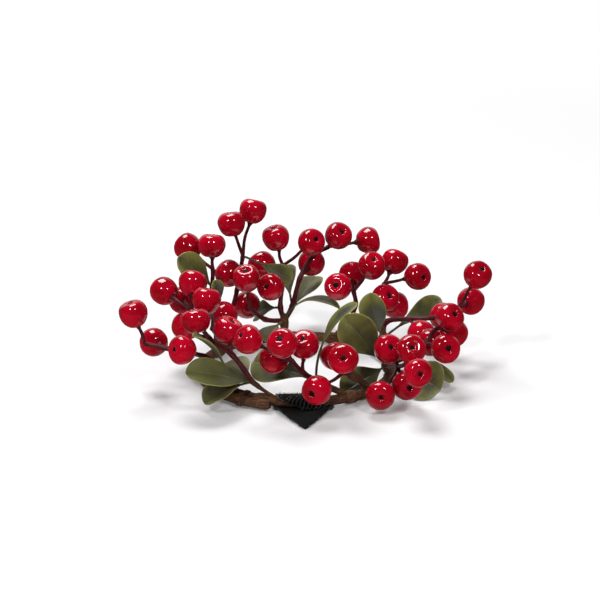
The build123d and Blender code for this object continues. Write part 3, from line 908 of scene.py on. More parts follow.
class Bench:
    """Shared work on meshes: making objects, tubes and applied modifiers."""

    @staticmethod
    def clear() -> None:
        """Leave edit mode and deselect everything."""
        if bpy.context.object and bpy.context.object.mode != "OBJECT":
            bpy.ops.object.mode_set(mode="OBJECT")
        bpy.ops.object.select_all(action="DESELECT")

    @staticmethod
    def take(piece: bpy.types.Object) -> None:
        """Select one object alone and make it active.

        Args:
            piece: the object.
        """
        Bench.clear()
        piece.select_set(True)
        bpy.context.view_layer.objects.active = piece

    @staticmethod
    def apply_all(piece: bpy.types.Object) -> None:
        """Apply every modifier of a piece in order.

        Args:
            piece: the object, which keeps its name.
        """
        Bench.take(piece)
        for modifier in list(piece.modifiers):
            bpy.ops.object.modifier_apply(modifier=modifier.name)

    @staticmethod
    def piece(name: str, mesh: bmesh.types.BMesh, *materials: bpy.types.Material) -> bpy.types.Object:
        """Turn a working mesh into a smooth object with its materials.

        Args:
            name: the piece's name.
            mesh: the working mesh, which is freed.
            materials: the slots in order.

        Returns:
            The new object, at the origin.
        """
        data = bpy.data.meshes.new(name)
        mesh.normal_update()
        mesh.to_mesh(data)
        mesh.free()
        for material in materials:
            data.materials.append(material)
        data.shade_smooth()
        piece = bpy.data.objects.new(name, data)
        bpy.context.scene.collection.objects.link(piece)
        return piece

    @staticmethod
    def tube(
        mesh: bmesh.types.BMesh,
        run: Sequence[Vector],
        radius: RadiusRule,
        sides: int,
        cap_slot: int = 0,
        section: Callable[[float], tuple[float, float]] | None = None,
        floor: float | None = None,
        first_up: Vector = UP,
    ) -> None:
        """Add a closed tube along a run of points, with a UV of (metres along, turns round).

        Args:
            mesh: the working mesh to add to.
            run: the middle line.
            radius: radius in metres from (metres along, turns round).
            sides: faces round the tube.
            cap_slot: material slot of the two ends.
            section: offset of the middle from (turns round), for a section that isn't round.
            floor: height below which no vertex may lie.
            first_up: the side on which the turns start.
        """
        layer = mesh.loops.layers.uv.verify()
        rings: list[list[bmesh.types.BMVert]] = []
        marks: list[float] = []
        length = 0.0
        across = first_up.copy()
        for index, here in enumerate(run):
            ahead = run[min(index + 1, len(run) - 1)] - run[max(index - 1, 0)]
            ahead.normalize()
            across = (across - ahead * across.dot(ahead)).normalized()
            side = ahead.cross(across)
            if index:
                length += (here - run[index - 1]).length
            ring = []
            for step in range(sides):
                turn = step / sides
                reach = radius(length, turn)
                angle = math.tau * turn
                shift_a, shift_b = section(turn) if section else (0.0, 0.0)
                point = here + across * (math.cos(angle) * reach + shift_a)
                point += side * (math.sin(angle) * reach + shift_b)
                if floor is not None:
                    point.z = max(point.z, floor)
                ring.append(mesh.verts.new(point))
            rings.append(ring)
            marks.append(length)
        for row in range(len(rings) - 1):
            for step in range(sides):
                follow = (step + 1) % sides
                corners = (rings[row][step], rings[row][follow], rings[row + 1][follow], rings[row + 1][step])
                face = mesh.faces.new(corners)
                turns = (step / sides, (step + 1) / sides, (step + 1) / sides, step / sides)
                along = (marks[row], marks[row], marks[row + 1], marks[row + 1])
                for loop, u, v in zip(face.loops, along, turns):
                    loop[layer].uv = (u, v)
        for ring, mark in ((rings[0], marks[0]), (rings[-1], marks[-1])):
            hub = mesh.verts.new(sum((vert.co for vert in ring), Vector()) / sides)
            for step in range(sides):
                pair = (ring[step], ring[(step + 1) % sides])
                corners = (hub, pair[1], pair[0]) if ring is rings[0] else (hub, pair[0], pair[1])
                face = mesh.faces.new(corners)
                face.material_index = cap_slot
                for loop in face.loops:
                    loop[layer].uv = (mark, step / sides)

    @staticmethod
    def hand_over(piece: bpy.types.Object, slot: str, node: str) -> None:
        """Let a piece stand for a CAD node and move with the ring.

        Args:
            piece: the dressed piece.
            slot: not used.
            node: the CAD node that it replaces.
        """
        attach(piece, "ring")
        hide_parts(node)
        LOG.info("%s stands for %s", piece.name, node)


@dataclass
class BerryClusters:
    """The lacquered berries: one shape turned on a lathe, then copied with small differences.

    The profile is (radius, height) in millimetres, from the stalk's end to the eye.
    """

    wear: Wardrobe
    steps: int = 30
    seed: int = 7
    profile: tuple[tuple[float, float], ...] = (
        (0.0, -4.55),
        (0.8, -4.75),
        (1.7, -5.15),
        (3.0, -4.85),
        (4.35, -3.75),
        (5.35, -2.15),
        (5.88, -0.45),
        (6.0, 0.9),
        (5.82, 2.25),
        (5.30, 3.50),
        (4.45, 4.45),
        (3.45, 4.94),
        (2.55, 5.02),
        (1.90, 4.86),
        (1.45, 4.56),
        (1.18, 4.24),
        (1.02, 4.18),
        (0.75, 4.34),
        (0.40, 4.44),
        (0.0, 4.46),
    )
    eye_radius: float = 1.3 * MM
    weld: float = 0.02 * MM
    full: float = 12.3 * MM
    width_range: tuple[float, float] = (0.98, 1.02)
    side_range: tuple[float, float] = (0.985, 1.0)
    height_range: tuple[float, float] = (0.93, 1.02)
    dish_range: tuple[float, float] = (0.4, 1.25)
    eye_range: tuple[float, float] = (-0.3, 0.05)
    noise_range: tuple[float, float] = (0.0, 90.0)
    lean: float = 0.35 * MM
    lean_height: float = 5.0 * MM
    dish_foot: float = 3.7 * MM
    dish_radius: float = 2.9 * MM
    dish_depth: float = 0.55 * MM
    ragged_lobes: float = 2.2
    ragged_share: float = 0.5
    dents: tuple[tuple[float, float], ...] = ((260.0, 0.16 * MM), (700.0, 0.05 * MM))

    def lathe(self) -> bpy.types.Object:
        """Turn one berry: a point is extruded along the profile and spun."""
        Bench.clear()
        bpy.ops.mesh.primitive_plane_add(size=MM, location=(0, 0, 0))
        master = bpy.context.object
        bpy.ops.object.mode_set(mode="EDIT")
        bpy.ops.mesh.select_mode(type="VERT")
        bpy.ops.mesh.select_all(action="SELECT")
        bpy.ops.mesh.merge(type="CENTER")
        first = self.profile[0]
        bpy.ops.transform.translate(value=(first[0] * MM, 0, first[1] * MM))
        for here, there in zip(self.profile, self.profile[1:]):
            move = ((there[0] - here[0]) * MM, 0, (there[1] - here[1]) * MM)
            bpy.ops.mesh.extrude_vertices_move(TRANSFORM_OT_translate={"value": move})
        bpy.ops.mesh.select_all(action="SELECT")
        bpy.ops.mesh.spin(steps=self.steps, angle=math.tau, center=(0, 0, 0), axis=(0, 0, 1))
        bpy.ops.mesh.select_all(action="SELECT")
        bpy.ops.mesh.remove_doubles(threshold=self.weld)
        bpy.ops.mesh.normals_make_consistent(inside=False)
        bpy.ops.object.mode_set(mode="OBJECT")
        master.data.materials.append(self.wear.lacquer)
        master.data.materials.append(self.wear.eye)
        for face in master.data.polygons:
            near = math.hypot(face.center.x, face.center.y) < self.eye_radius
            face.material_index = 1 if near and face.center.z > 0 else 0
        round_off = master.modifiers.new("round_off", "SUBSURF")
        round_off.levels = round_off.render_levels = 1
        Bench.apply_all(master)
        reach = max(vert.co.to_2d().length for vert in master.data.vertices)
        master.data.transform(Matrix.Scale(self.full / 2 / reach, 4))
        return master

    def grow(self, master: bpy.types.Object, pose: Matrix, chance: random.Random) -> bpy.types.Mesh:
        """A copy of the master berry with its own size, lean and dents.

        Args:
            master: the turned berry.
            pose: where it stands.
            chance: source of the differences.

        Returns:
            The new mesh.
        """
        copy = master.data.copy()
        wide = chance.uniform(*self.width_range)
        squash = (
            wide * chance.uniform(*self.side_range),
            wide * chance.uniform(*self.side_range),
            chance.uniform(*self.height_range),
        )
        spin = Matrix.Rotation(chance.uniform(0, math.tau), 4, "Z")
        start = Vector([chance.uniform(*self.noise_range) for _ in range(3)])
        lean = Vector((chance.uniform(-self.lean, self.lean), chance.uniform(-self.lean, self.lean), 0))
        dish = (1 - chance.uniform(*self.dish_range)) * self.dish_depth
        eye_size = chance.uniform(*self.eye_range)
        for vert in copy.vertices:
            here = vert.co.copy()
            rim = max(0.0, here.z / self.lean_height)
            radius = math.hypot(here.x, here.y)
            if here.z > self.dish_foot and radius < self.dish_radius:
                near = 1 - (radius / self.dish_radius) ** 2
                ragged = noise.noise(Vector((here.x, here.y, 0)).normalized() * self.ragged_lobes + start)
                spread = 1 + (ragged * self.ragged_share + eye_size) * near
                here.x *= spread
                here.y *= spread
                here.z += dish * near
            bump = sum(noise.noise(here * cells + start) * depth for cells, depth in self.dents)
            here += here.normalized() * bump
            here += lean * rim * rim
            vert.co = Vector((here.x * squash[0], here.y * squash[1], here.z * squash[2]))
        copy.transform(pose @ spin)
        return copy

    def build(self) -> None:
        """Grow every cluster in the place of its CAD berries."""
        master = self.lathe()
        chance = random.Random(self.seed)
        for name, twig in TWIGS.items():
            cluster = bmesh.new()
            for berry in twig.berries:
                copy = self.grow(master, askew_pose(name, berry), chance)
                cluster.from_mesh(copy)
                bpy.data.meshes.remove(copy)
            piece = Bench.piece(f"berry_cluster_{name}", cluster, self.wear.lacquer, self.wear.eye)
            Bench.hand_over(piece, "berry", f"berries_{name}")
        bpy.data.objects.remove(master)


@dataclass
class Twigs:
    """The burgundy twigs and the berry stalks on them."""

    wear: Wardrobe
    main: float = 1.02 * MM
    root_share: float = 1.18
    taper: float = 0.32
    knuckle: float = 1.5 * MM
    knuckle_share: float = 0.28
    bark_share: float = 0.07
    bark_cells: float = 900.0
    stalk: float = 0.72 * MM
    stalk_root: float = 1.1
    stalk_taper: float = 0.2
    cup: float = 1.5 * MM
    cup_length: float = 1.7 * MM
    cup_lip: float = 0.5 * MM
    cup_lobes: int = 5
    lobe_share: float = 0.18
    seat: float = 4.8 * MM
    neck: float = 1.6 * MM
    bow: float = 0.07
    neck_bow: float = 0.2
    least_sag: float = -0.6
    spacing: float = 0.9 * MM
    stalk_spacing: float = 0.7 * MM
    sides: int = 14
    stalk_sides: int = 12
    seam: Place = (0.3, 0.2, 0.9)
    stalk_seam: Place = (0.7, 0.1, 0.3)
    seed: int = 21

    def main_radius(self, nodes: Sequence[Vector], run: Sequence[Vector]) -> RadiusRule:
        """The twig's radius: thinner to its end, thicker at its nodes.

        Args:
            nodes: the points where it forks, its root first.
            run: its middle line.

        Returns:
            The radius from (metres along, turns round).
        """
        marks = [0.0]
        for here, there in zip(run, run[1:]):
            marks.append(marks[-1] + (there - here).length)
        joints = [marks[min(range(len(run)), key=lambda i: (run[i] - node).length)] for node in nodes[1:]]

        def radius(along: float, turn: float) -> float:
            """The radius at a point of the bark.

            Args:
                along: metres from the start.
                turn: turns round.

            Returns:
                The radius in metres.
            """
            slim = self.main * (self.root_share - self.taper * (along / marks[-1]) ** 0.7)
            swell = min(1.0, sum(math.exp(-(((along - joint) / self.knuckle) ** 2)) for joint in joints))
            bark = noise.noise(Vector((along * self.bark_cells, turn * 3, 0)))
            return slim * (1 + self.knuckle_share * swell + self.bark_share * bark)

        return radius

    def stalk_run(self, start: Vector, pose: Matrix, chance: random.Random) -> list[Vector]:
        """The bowed line of a stalk from its node into the base of its berry.

        Args:
            start: the node.
            pose: the berry's matrix.
            chance: source of the bow.

        Returns:
            Points along the line.
        """
        eye = pose.to_3x3() @ UP
        end = pose.translation - eye * self.seat
        bow = Vector((chance.uniform(-1, 1), chance.uniform(-1, 1), chance.uniform(self.least_sag, 1)))
        bow = (bow - eye * bow.dot(eye)) * (end - start).length * self.bow
        neck = end - eye * self.neck + bow * self.neck_bow
        return smooth_run([start, (start + end) / 2 + bow, neck, end], self.stalk_spacing)

    def stalk_radius(self, length: float) -> RadiusRule:
        """The stalk's radius: slim, then a ragged cup under the berry.

        Args:
            length: the stalk's length.

        Returns:
            The radius from (metres along, turns round).
        """

        def radius(along: float, turn: float) -> float:
            """The radius at a point of the stalk.

            Args:
                along: metres from the start.
                turn: turns round.

            Returns:
                The radius in metres.
            """
            left = length - along
            cup = max(0.0, 1 - max(0.0, left - self.cup_lip) / self.cup_length) ** 1.6
            ragged = 1 + self.lobe_share * math.sin(turn * math.tau * self.cup_lobes) * cup
            slim = self.stalk * (self.stalk_root - self.stalk_taper * along / length)
            return (slim + (self.cup - self.stalk) * cup) * ragged

        return radius

    def build(self) -> None:
        """Make each twig with its stalks as one piece."""
        chance = random.Random(self.seed)
        for name, twig in TWIGS.items():
            nodes = [twig_node(name, index) for index in range(len(twig.nodes) + 1)]
            work = bmesh.new()
            run = smooth_run(nodes, self.spacing)
            radius = self.main_radius(nodes, run)
            Bench.tube(work, run, radius, self.sides, first_up=Vector(self.seam))
            for berry in twig.berries:
                stalk = self.stalk_run(nodes[berry.node], berry_pose(name, berry), chance)
                radius = self.stalk_radius(run_length(stalk))
                Bench.tube(work, stalk, radius, self.stalk_sides, first_up=Vector(self.stalk_seam))
            piece = Bench.piece(f"berry_twig_{name}", work, self.wear.twig)
            Bench.hand_over(piece, "twig", f"twig_{name}")


@dataclass
class TapeWork:
    """The wound ring, the tape bindings on it and the taped stems with their knots."""

    wear: Wardrobe
    pitch: float = 4.8 * MM
    lap_rise: float = 0.55
    lap_fall: float = 0.75
    crease_share: float = 0.75
    crease_cells: float = 260.0
    crease_turns: float = 1.6
    spacing: float = 0.45 * MM
    ring_sides: int = 30
    ring_depth: float = 0.08 * MM
    end_round: float = 1.7 * MM
    end_draw: float = 0.6
    wall: float = 0.65 * MM
    band_ease: float = 2.2 * MM
    end_ease: float = 0.5 * MM
    end_phase: float = 0.4
    phase_step: float = 0.37
    band_pitch: float = 2.1 * MM
    band_edge: float = 0.2
    band_lap: float = 0.14
    band_cells: float = 420.0
    band_crease: float = 0.05 * MM
    least_lift: float = 0.1 * MM
    band_steps: int = 26
    band_sides: int = 32
    end_sides: int = 40
    floor: float = 0.02 * MM
    stem: float = 1.35 * MM
    stem_foot: float = 0.6
    lying_foot: float = 0.5
    lying_bend: float = 1.15
    bend_share: float = 0.45
    knot: float = 2.05 * MM
    neck: float = 5.5 * MM
    nose: float = 3.6 * MM
    nose_tip: float = 0.4 * MM
    lying_share: float = 0.55
    stem_spacing: float = 0.4 * MM
    stem_sides: int = 26
    stem_depth: float = 0.15 * MM
    stem_winding: float = 2.2
    stem_seam: Place = (0.2, 0.9, 0.1)

    def wound(self, along: float, turn: float, depth: float) -> float:
        """The lift of the tape's overlapping turns and creases at a point.

        Args:
            along: metres along the tape's core.
            turn: turns round it.
            depth: the height of a turn's edge.

        Returns:
            The lift in metres.
        """
        lap = (along / self.pitch + turn) % 1.0
        round_it = compass(turn * 360) * self.crease_turns
        crease = noise.noise(Vector((along * self.crease_cells, round_it.x, round_it.y)))
        return depth * (self.lap_rise - lap * self.lap_fall) + depth * self.crease_share * crease

    def ring(self) -> None:
        """The wrapped ring itself, with its two cut ends, whose caps are painted near black as shade."""
        run = RING.run(self.spacing)
        length = run_length(run)
        work = bmesh.new()

        def radius(along: float, turn: float) -> float:
            """The ring's radius, rounded off at both ends.

            Args:
                along: metres from the start.
                turn: turns round.

            Returns:
                The radius in metres.
            """
            end = max(0.0, 1 - min(along, length - along) / self.end_round)
            drawn = RING.body * math.sqrt(1 - self.end_draw * end * end)
            return drawn + self.wound(along, turn, self.ring_depth)

        # The caps take slot 1, the near-black painted shade of the hollow ends.
        Bench.tube(work, run, radius, self.ring_sides, cap_slot=1)
        piece = Bench.piece("wound_ring", work, self.wear.tape, self.wear.painted_shade_end)
        Bench.hand_over(piece, "paper_tape", "ring_wrap")

    def band_run(self, centre: Vector, angle: float, radius: float, length: float) -> list[Vector]:
        """The middle line of a binding.

        Args:
            centre: the centre of the circle that it follows.
            angle: where its middle lies, in degrees.
            radius: the circle's radius.
            length: its length along the ring.

        Returns:
            Points along it.
        """
        half = math.degrees(length / 2 / radius)
        middle = self.band_steps // 2
        shares = [i / middle - 1 for i in range(self.band_steps + 1)]
        return [centre + compass(angle + half * share) * radius for share in shares]

    def band(self, work: bmesh.types.BMesh, angle: float, phase: float) -> None:
        """One binding round a single strand.

        Args:
            work: the working mesh to add to.
            angle: where it lies, in degrees.
            phase: turns its laps.
        """
        centre = RING.outer_centre if RING.on_outer_strand(angle) else RING.inner_centre
        arm = RING.spot(angle) - centre
        heading = math.degrees(math.atan2(arm.y, arm.x))
        run = self.band_run(centre, heading, arm.length, RING.tape_length)
        radius = self.band_radius(self.wall, RING.tape_length, self.band_ease, phase)
        Bench.tube(work, run, radius, self.band_sides, floor=self.floor)

    def band_radius(self, wall: float, length: float, ease: float, phase: float) -> RadiusRule:
        """The radius of a binding.

        Args:
            wall: how far it stands up from the ring.
            length: its length along the ring.
            ease: the length over which its ends are drawn in.
            phase: turns its laps.

        Returns:
            The radius from (metres along, turns round).
        """

        def radius(along: float, turn: float) -> float:
            """The radius at a point of the binding.

            Args:
                along: metres from the start.
                turn: turns round.

            Returns:
                The radius in metres.
            """
            edge = min(along, length - along) / ease
            drawn = 1 - max(0.0, 1 - edge) ** 2
            lap = (along / self.band_pitch + turn + phase) % 1.0
            crease = noise.noise(Vector((along * self.band_cells, turn * 6, phase * 9)))
            full = self.band_edge + (1 - self.band_edge) * drawn - self.band_lap * lap
            return RING.body + max(self.least_lift, wall * full + self.band_crease * crease)

        return radius

    def end_band(self, work: bmesh.types.BMesh) -> None:
        """The binding round both strands near the ring's ends.

        Args:
            work: the working mesh to add to.
        """
        heading = compass(RING.end_tape_angle)
        outer = RING.outer_centre + heading * (RING.radius + RING.shift)
        inner = RING.inner_centre + heading * RING.radius
        reach = (outer - inner).length / 2
        middle = ((outer + inner) / 2).to_2d().length
        run = self.band_run(RING.inner_centre, RING.end_tape_angle, middle, RING.end_tape_length)

        def section(turn: float) -> tuple[float, float]:
            """The offset that draws the round section out over both strands."""
            return 0.0, reach * max(-1.0, min(1.0, 3 * math.sin(turn * math.tau)))

        wall = RING.end_tape_radius - RING.body
        radius = self.band_radius(wall, RING.end_tape_length, self.end_ease, self.end_phase)
        Bench.tube(work, run, radius, self.end_sides, section=section, floor=self.floor)

    def bindings(self) -> None:
        """All the bindings as one piece."""
        work = bmesh.new()
        for index, spray in enumerate(SPRAYS.values()):
            self.band(work, spray.angle + spray.shift, index * self.phase_step)
        self.end_band(work)
        piece = Bench.piece("wound_bindings", work, self.wear.tape)
        Bench.hand_over(piece, "paper_tape", "tape_bindings")

    def stem_line(self, name: str, spray: Spray) -> list[Vector]:
        """The points of a stem: its foot, its bend, its knot and its nose.

        Args:
            name: the spray's name.
            spray: its plan.

        Returns:
            The four points.
        """
        foot = spray.angle + spray.shift
        base = RING.spot(foot)
        knot = spot(name, spray.knot)
        rise = (knot - base).normalized()
        start = base + rise * RING.body * self.stem_foot
        bend = (start + knot) / 2
        if spray.lead:
            start = RING.spot(foot + spray.lead) + UP * RING.body * self.lying_foot
            bend = RING.spot(foot + spray.lead * self.bend_share) + UP * RING.body * self.lying_bend
        return [start, bend, knot, knot + rise * self.nose]

    def stem_radius(self, reach: float, slim: float) -> RadiusRule:
        """The radius of a stem that swells into its knot.

        Args:
            reach: the length up to the knot's middle.
            slim: share of the full radius.

        Returns:
            The radius from (metres along, turns round).
        """

        def radius(along: float, turn: float) -> float:
            """The radius at a point of the stem.

            Args:
                along: metres from the start.
                turn: turns round.

            Returns:
                The radius in metres.
            """
            past = (along - reach) / (self.nose if along > reach else self.neck)
            bulge = max(0.0, 1 - past * past)
            plain = self.stem if along < reach else self.nose_tip
            tape = self.wound(along * self.stem_winding, turn, self.stem_depth)
            return (plain + (self.knot - plain) * bulge) * slim + tape

        return radius

    def stems(self) -> None:
        """The taped stems, each with its knot."""
        for name, spray in SPRAYS.items():
            line = self.stem_line(name, spray)
            run = smooth_run(line, self.stem_spacing)
            reach = (line[1] - line[0]).length + (line[2] - line[1]).length
            radius = self.stem_radius(reach, self.lying_share if spray.lead else 1.0)
            work = bmesh.new()
            Bench.tube(work, run, radius, self.stem_sides, first_up=Vector(self.stem_seam))
            piece = Bench.piece(f"taped_stem_{name}", work, self.wear.tape)
            Bench.hand_over(piece, "paper_tape", f"stem_{name}")

    def build(self) -> None:
        """Make the ring, the bindings and the stems, and dress the wire inside."""
        self.ring()
        self.bindings()
        self.stems()
        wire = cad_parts["ring_wire"]
        wire.data.materials.clear()
        wire.data.materials.append(self.wear.wire)


class LeafArc:
    """The arc of a leaf's midrib from its root to its tip."""

    def __init__(self, leaf: Leaf) -> None:
        """Work the arc out from the leaf's root, tip, facing and arch.

        Args:
            leaf: the leaf's plan.
        """
        if leaf.twig is None:
            self.root = spot(leaf.spray, SPRAYS[leaf.spray].knot)
        else:
            self.root = twig_node(leaf.twig, leaf.node)
        tip = spot(leaf.spray, leaf.tip)
        self.chord = (tip - self.root).length
        self.ahead = (tip - self.root).normalized()
        facing = Vector(leaf.facing)
        self.normal = (facing - self.ahead * facing.dot(self.ahead)).normalized()
        self.side = self.normal.cross(self.ahead)
        arch = leaf.arch * STEP
        self.radius = (self.chord**2 / 4 + arch**2) / (2 * arch)
        self.centre = self.root + self.ahead * (self.chord / 2) - self.normal * (self.radius - arch)

    def at(self, reach: float) -> tuple[Vector, Vector]:
        """A point of the midrib.

        Args:
            reach: its distance along the chord.

        Returns:
            The point, and the direction away from the arc's centre.
        """
        turn = math.asin(max(-1.0, min(1.0, (reach - self.chord / 2) / self.radius)))
        out = self.normal * math.cos(turn) + self.ahead * math.sin(turn)
        return self.centre + out * self.radius, out


@dataclass
class Foliage:
    """The leaves: a grid drawn out to each blade, with a midrib and a stalk."""

    wear: Wardrobe
    thickness: float = 0.45 * MM
    fold: float = 0.2
    widest: float = 0.68
    taper: float = 0.4
    spread: float = 0.25
    stalk: float = 0.5 * MM
    length_steps: int = 30
    width_steps: int = 12
    halvings: int = 20
    wave_range: tuple[float, float] = (0.25 * MM, 0.6 * MM)
    wave_turns: float = 9.0
    wave_shift: float = 2.0
    twist: float = 0.16
    cup_range: tuple[float, float] = (-0.4, 0.9)
    cup_bend: float = 18.0
    weld: float = 0.005 * MM
    rib_share: float = 0.85
    rib_root: float = 1.05
    rib_fade: float = 0.72
    rib_steps: int = 40
    rib_sides: int = 10
    seed: int = 3

    def half_width(self, leaf: Leaf, share: float) -> float:
        """Half the blade's width at a share of its length.

        Args:
            leaf: the leaf's plan.
            share: 0 at the blade's base, 1 at its tip.

        Returns:
            The half width: a slow curve out from the stalk, then half an ellipse to the tip.
        """
        half = leaf.width * STEP / 2
        if share > self.widest:
            return half * math.sqrt(max(0.0, 1 - ((share - self.widest) / (1 - self.widest)) ** 2))
        low, high = 0.0, 1.0
        for _ in range(self.halvings):
            middle = (low + high) / 2
            if cubic(0.0, self.taper, 1 - self.taper, 1.0, middle) < share / self.widest:
                low = middle
            else:
                high = middle
        return cubic(self.stalk, self.stalk + self.spread * half, half, half, low)

    def blade(self, name: str, leaf: Leaf, chance: random.Random) -> bpy.types.Object:
        """One leaf blade: a grid is added and drawn out to the leaf's outline and arch.

        Args:
            name: the leaf's name.
            leaf: its plan.
            chance: source of its waves and twist.

        Returns:
            The blade with its thickness applied.
        """
        arc = LeafArc(leaf)
        roll = math.radians(leaf.roll)
        stalk = leaf.stalk * STEP
        Bench.clear()
        bpy.ops.mesh.primitive_grid_add(
            x_subdivisions=self.length_steps, y_subdivisions=self.width_steps, size=1, calc_uvs=True
        )
        blade = bpy.context.object
        blade.name = name
        wave, phase = chance.uniform(*self.wave_range), chance.uniform(0, math.tau)
        twist = chance.uniform(-self.twist, self.twist)
        cup = chance.uniform(*self.cup_range) * self.cup_bend
        for vert in blade.data.vertices:
            share = math.sin((vert.co.x + 0.5) * math.pi / 2)
            across = vert.co.y * 2
            middle, out = arc.at(stalk + (arc.chord - stalk) * share)
            offset = across * self.half_width(leaf, share)
            swing = math.sin(share * self.wave_turns + phase + (self.wave_shift if across > 0 else 0))
            lift = abs(offset) * self.fold + cup * offset**2
            lift += wave * swing * across**2 * share + offset * twist * share
            flat = arc.side * math.cos(roll) + out * math.sin(roll)
            rise = out * math.cos(roll) - arc.side * math.sin(roll)
            vert.co = middle + flat * offset + rise * lift
            vert.co.z = max(vert.co.z, self.thickness)
        wall = blade.modifiers.new("wall", "SOLIDIFY")
        wall.thickness = self.thickness
        wall.offset = 0.0
        ease = blade.modifiers.new("ease", "SUBSURF")
        ease.levels = ease.render_levels = 1
        weld = blade.modifiers.new("weld", "WELD")
        weld.merge_threshold = self.weld
        Bench.apply_all(blade)
        return blade

    def rib(self, work: bmesh.types.BMesh, leaf: Leaf) -> None:
        """The stalk, running on as a fading rib along the blade's middle.

        Args:
            work: the working mesh to add to.
            leaf: the leaf's plan.
        """
        arc = LeafArc(leaf)
        reach = leaf.stalk * STEP
        end = reach + (arc.chord - reach) * self.rib_share
        run = [arc.at(end * i / self.rib_steps)[0] for i in range(self.rib_steps + 1)]

        def radius(along: float, turn: float) -> float:
            """The stalk's radius, fading along the blade."""
            fade = max(0.0, (along - reach) / (end - reach))
            return self.stalk * (self.rib_root - self.rib_fade * math.sqrt(min(1.0, fade)))

        Bench.tube(work, run, radius, self.rib_sides, first_up=arc.side)

    def build(self) -> None:
        """Make every leaf node, alone or in its pair."""
        chance = random.Random(self.seed)
        paired = {name for pair in LEAF_PAIRS for name in pair}
        groups = [*LEAF_PAIRS, *((name,) for name in LEAVES if name not in paired)]
        for group in groups:
            work = bmesh.new()
            work.loops.layers.uv.new("UVMap")
            for name in group:
                blade = self.blade(name, LEAVES[name], chance)
                work.from_mesh(blade.data)
                bpy.data.objects.remove(blade)
                self.rib(work, LEAVES[name])
            title = group[0] if len(group) == 1 else f"{group[0]}_pair"
            piece = Bench.piece(f"green_leaf_{title}", work, self.wear.leaf)
            Bench.hand_over(piece, "leaf", f"leaf_{title}")


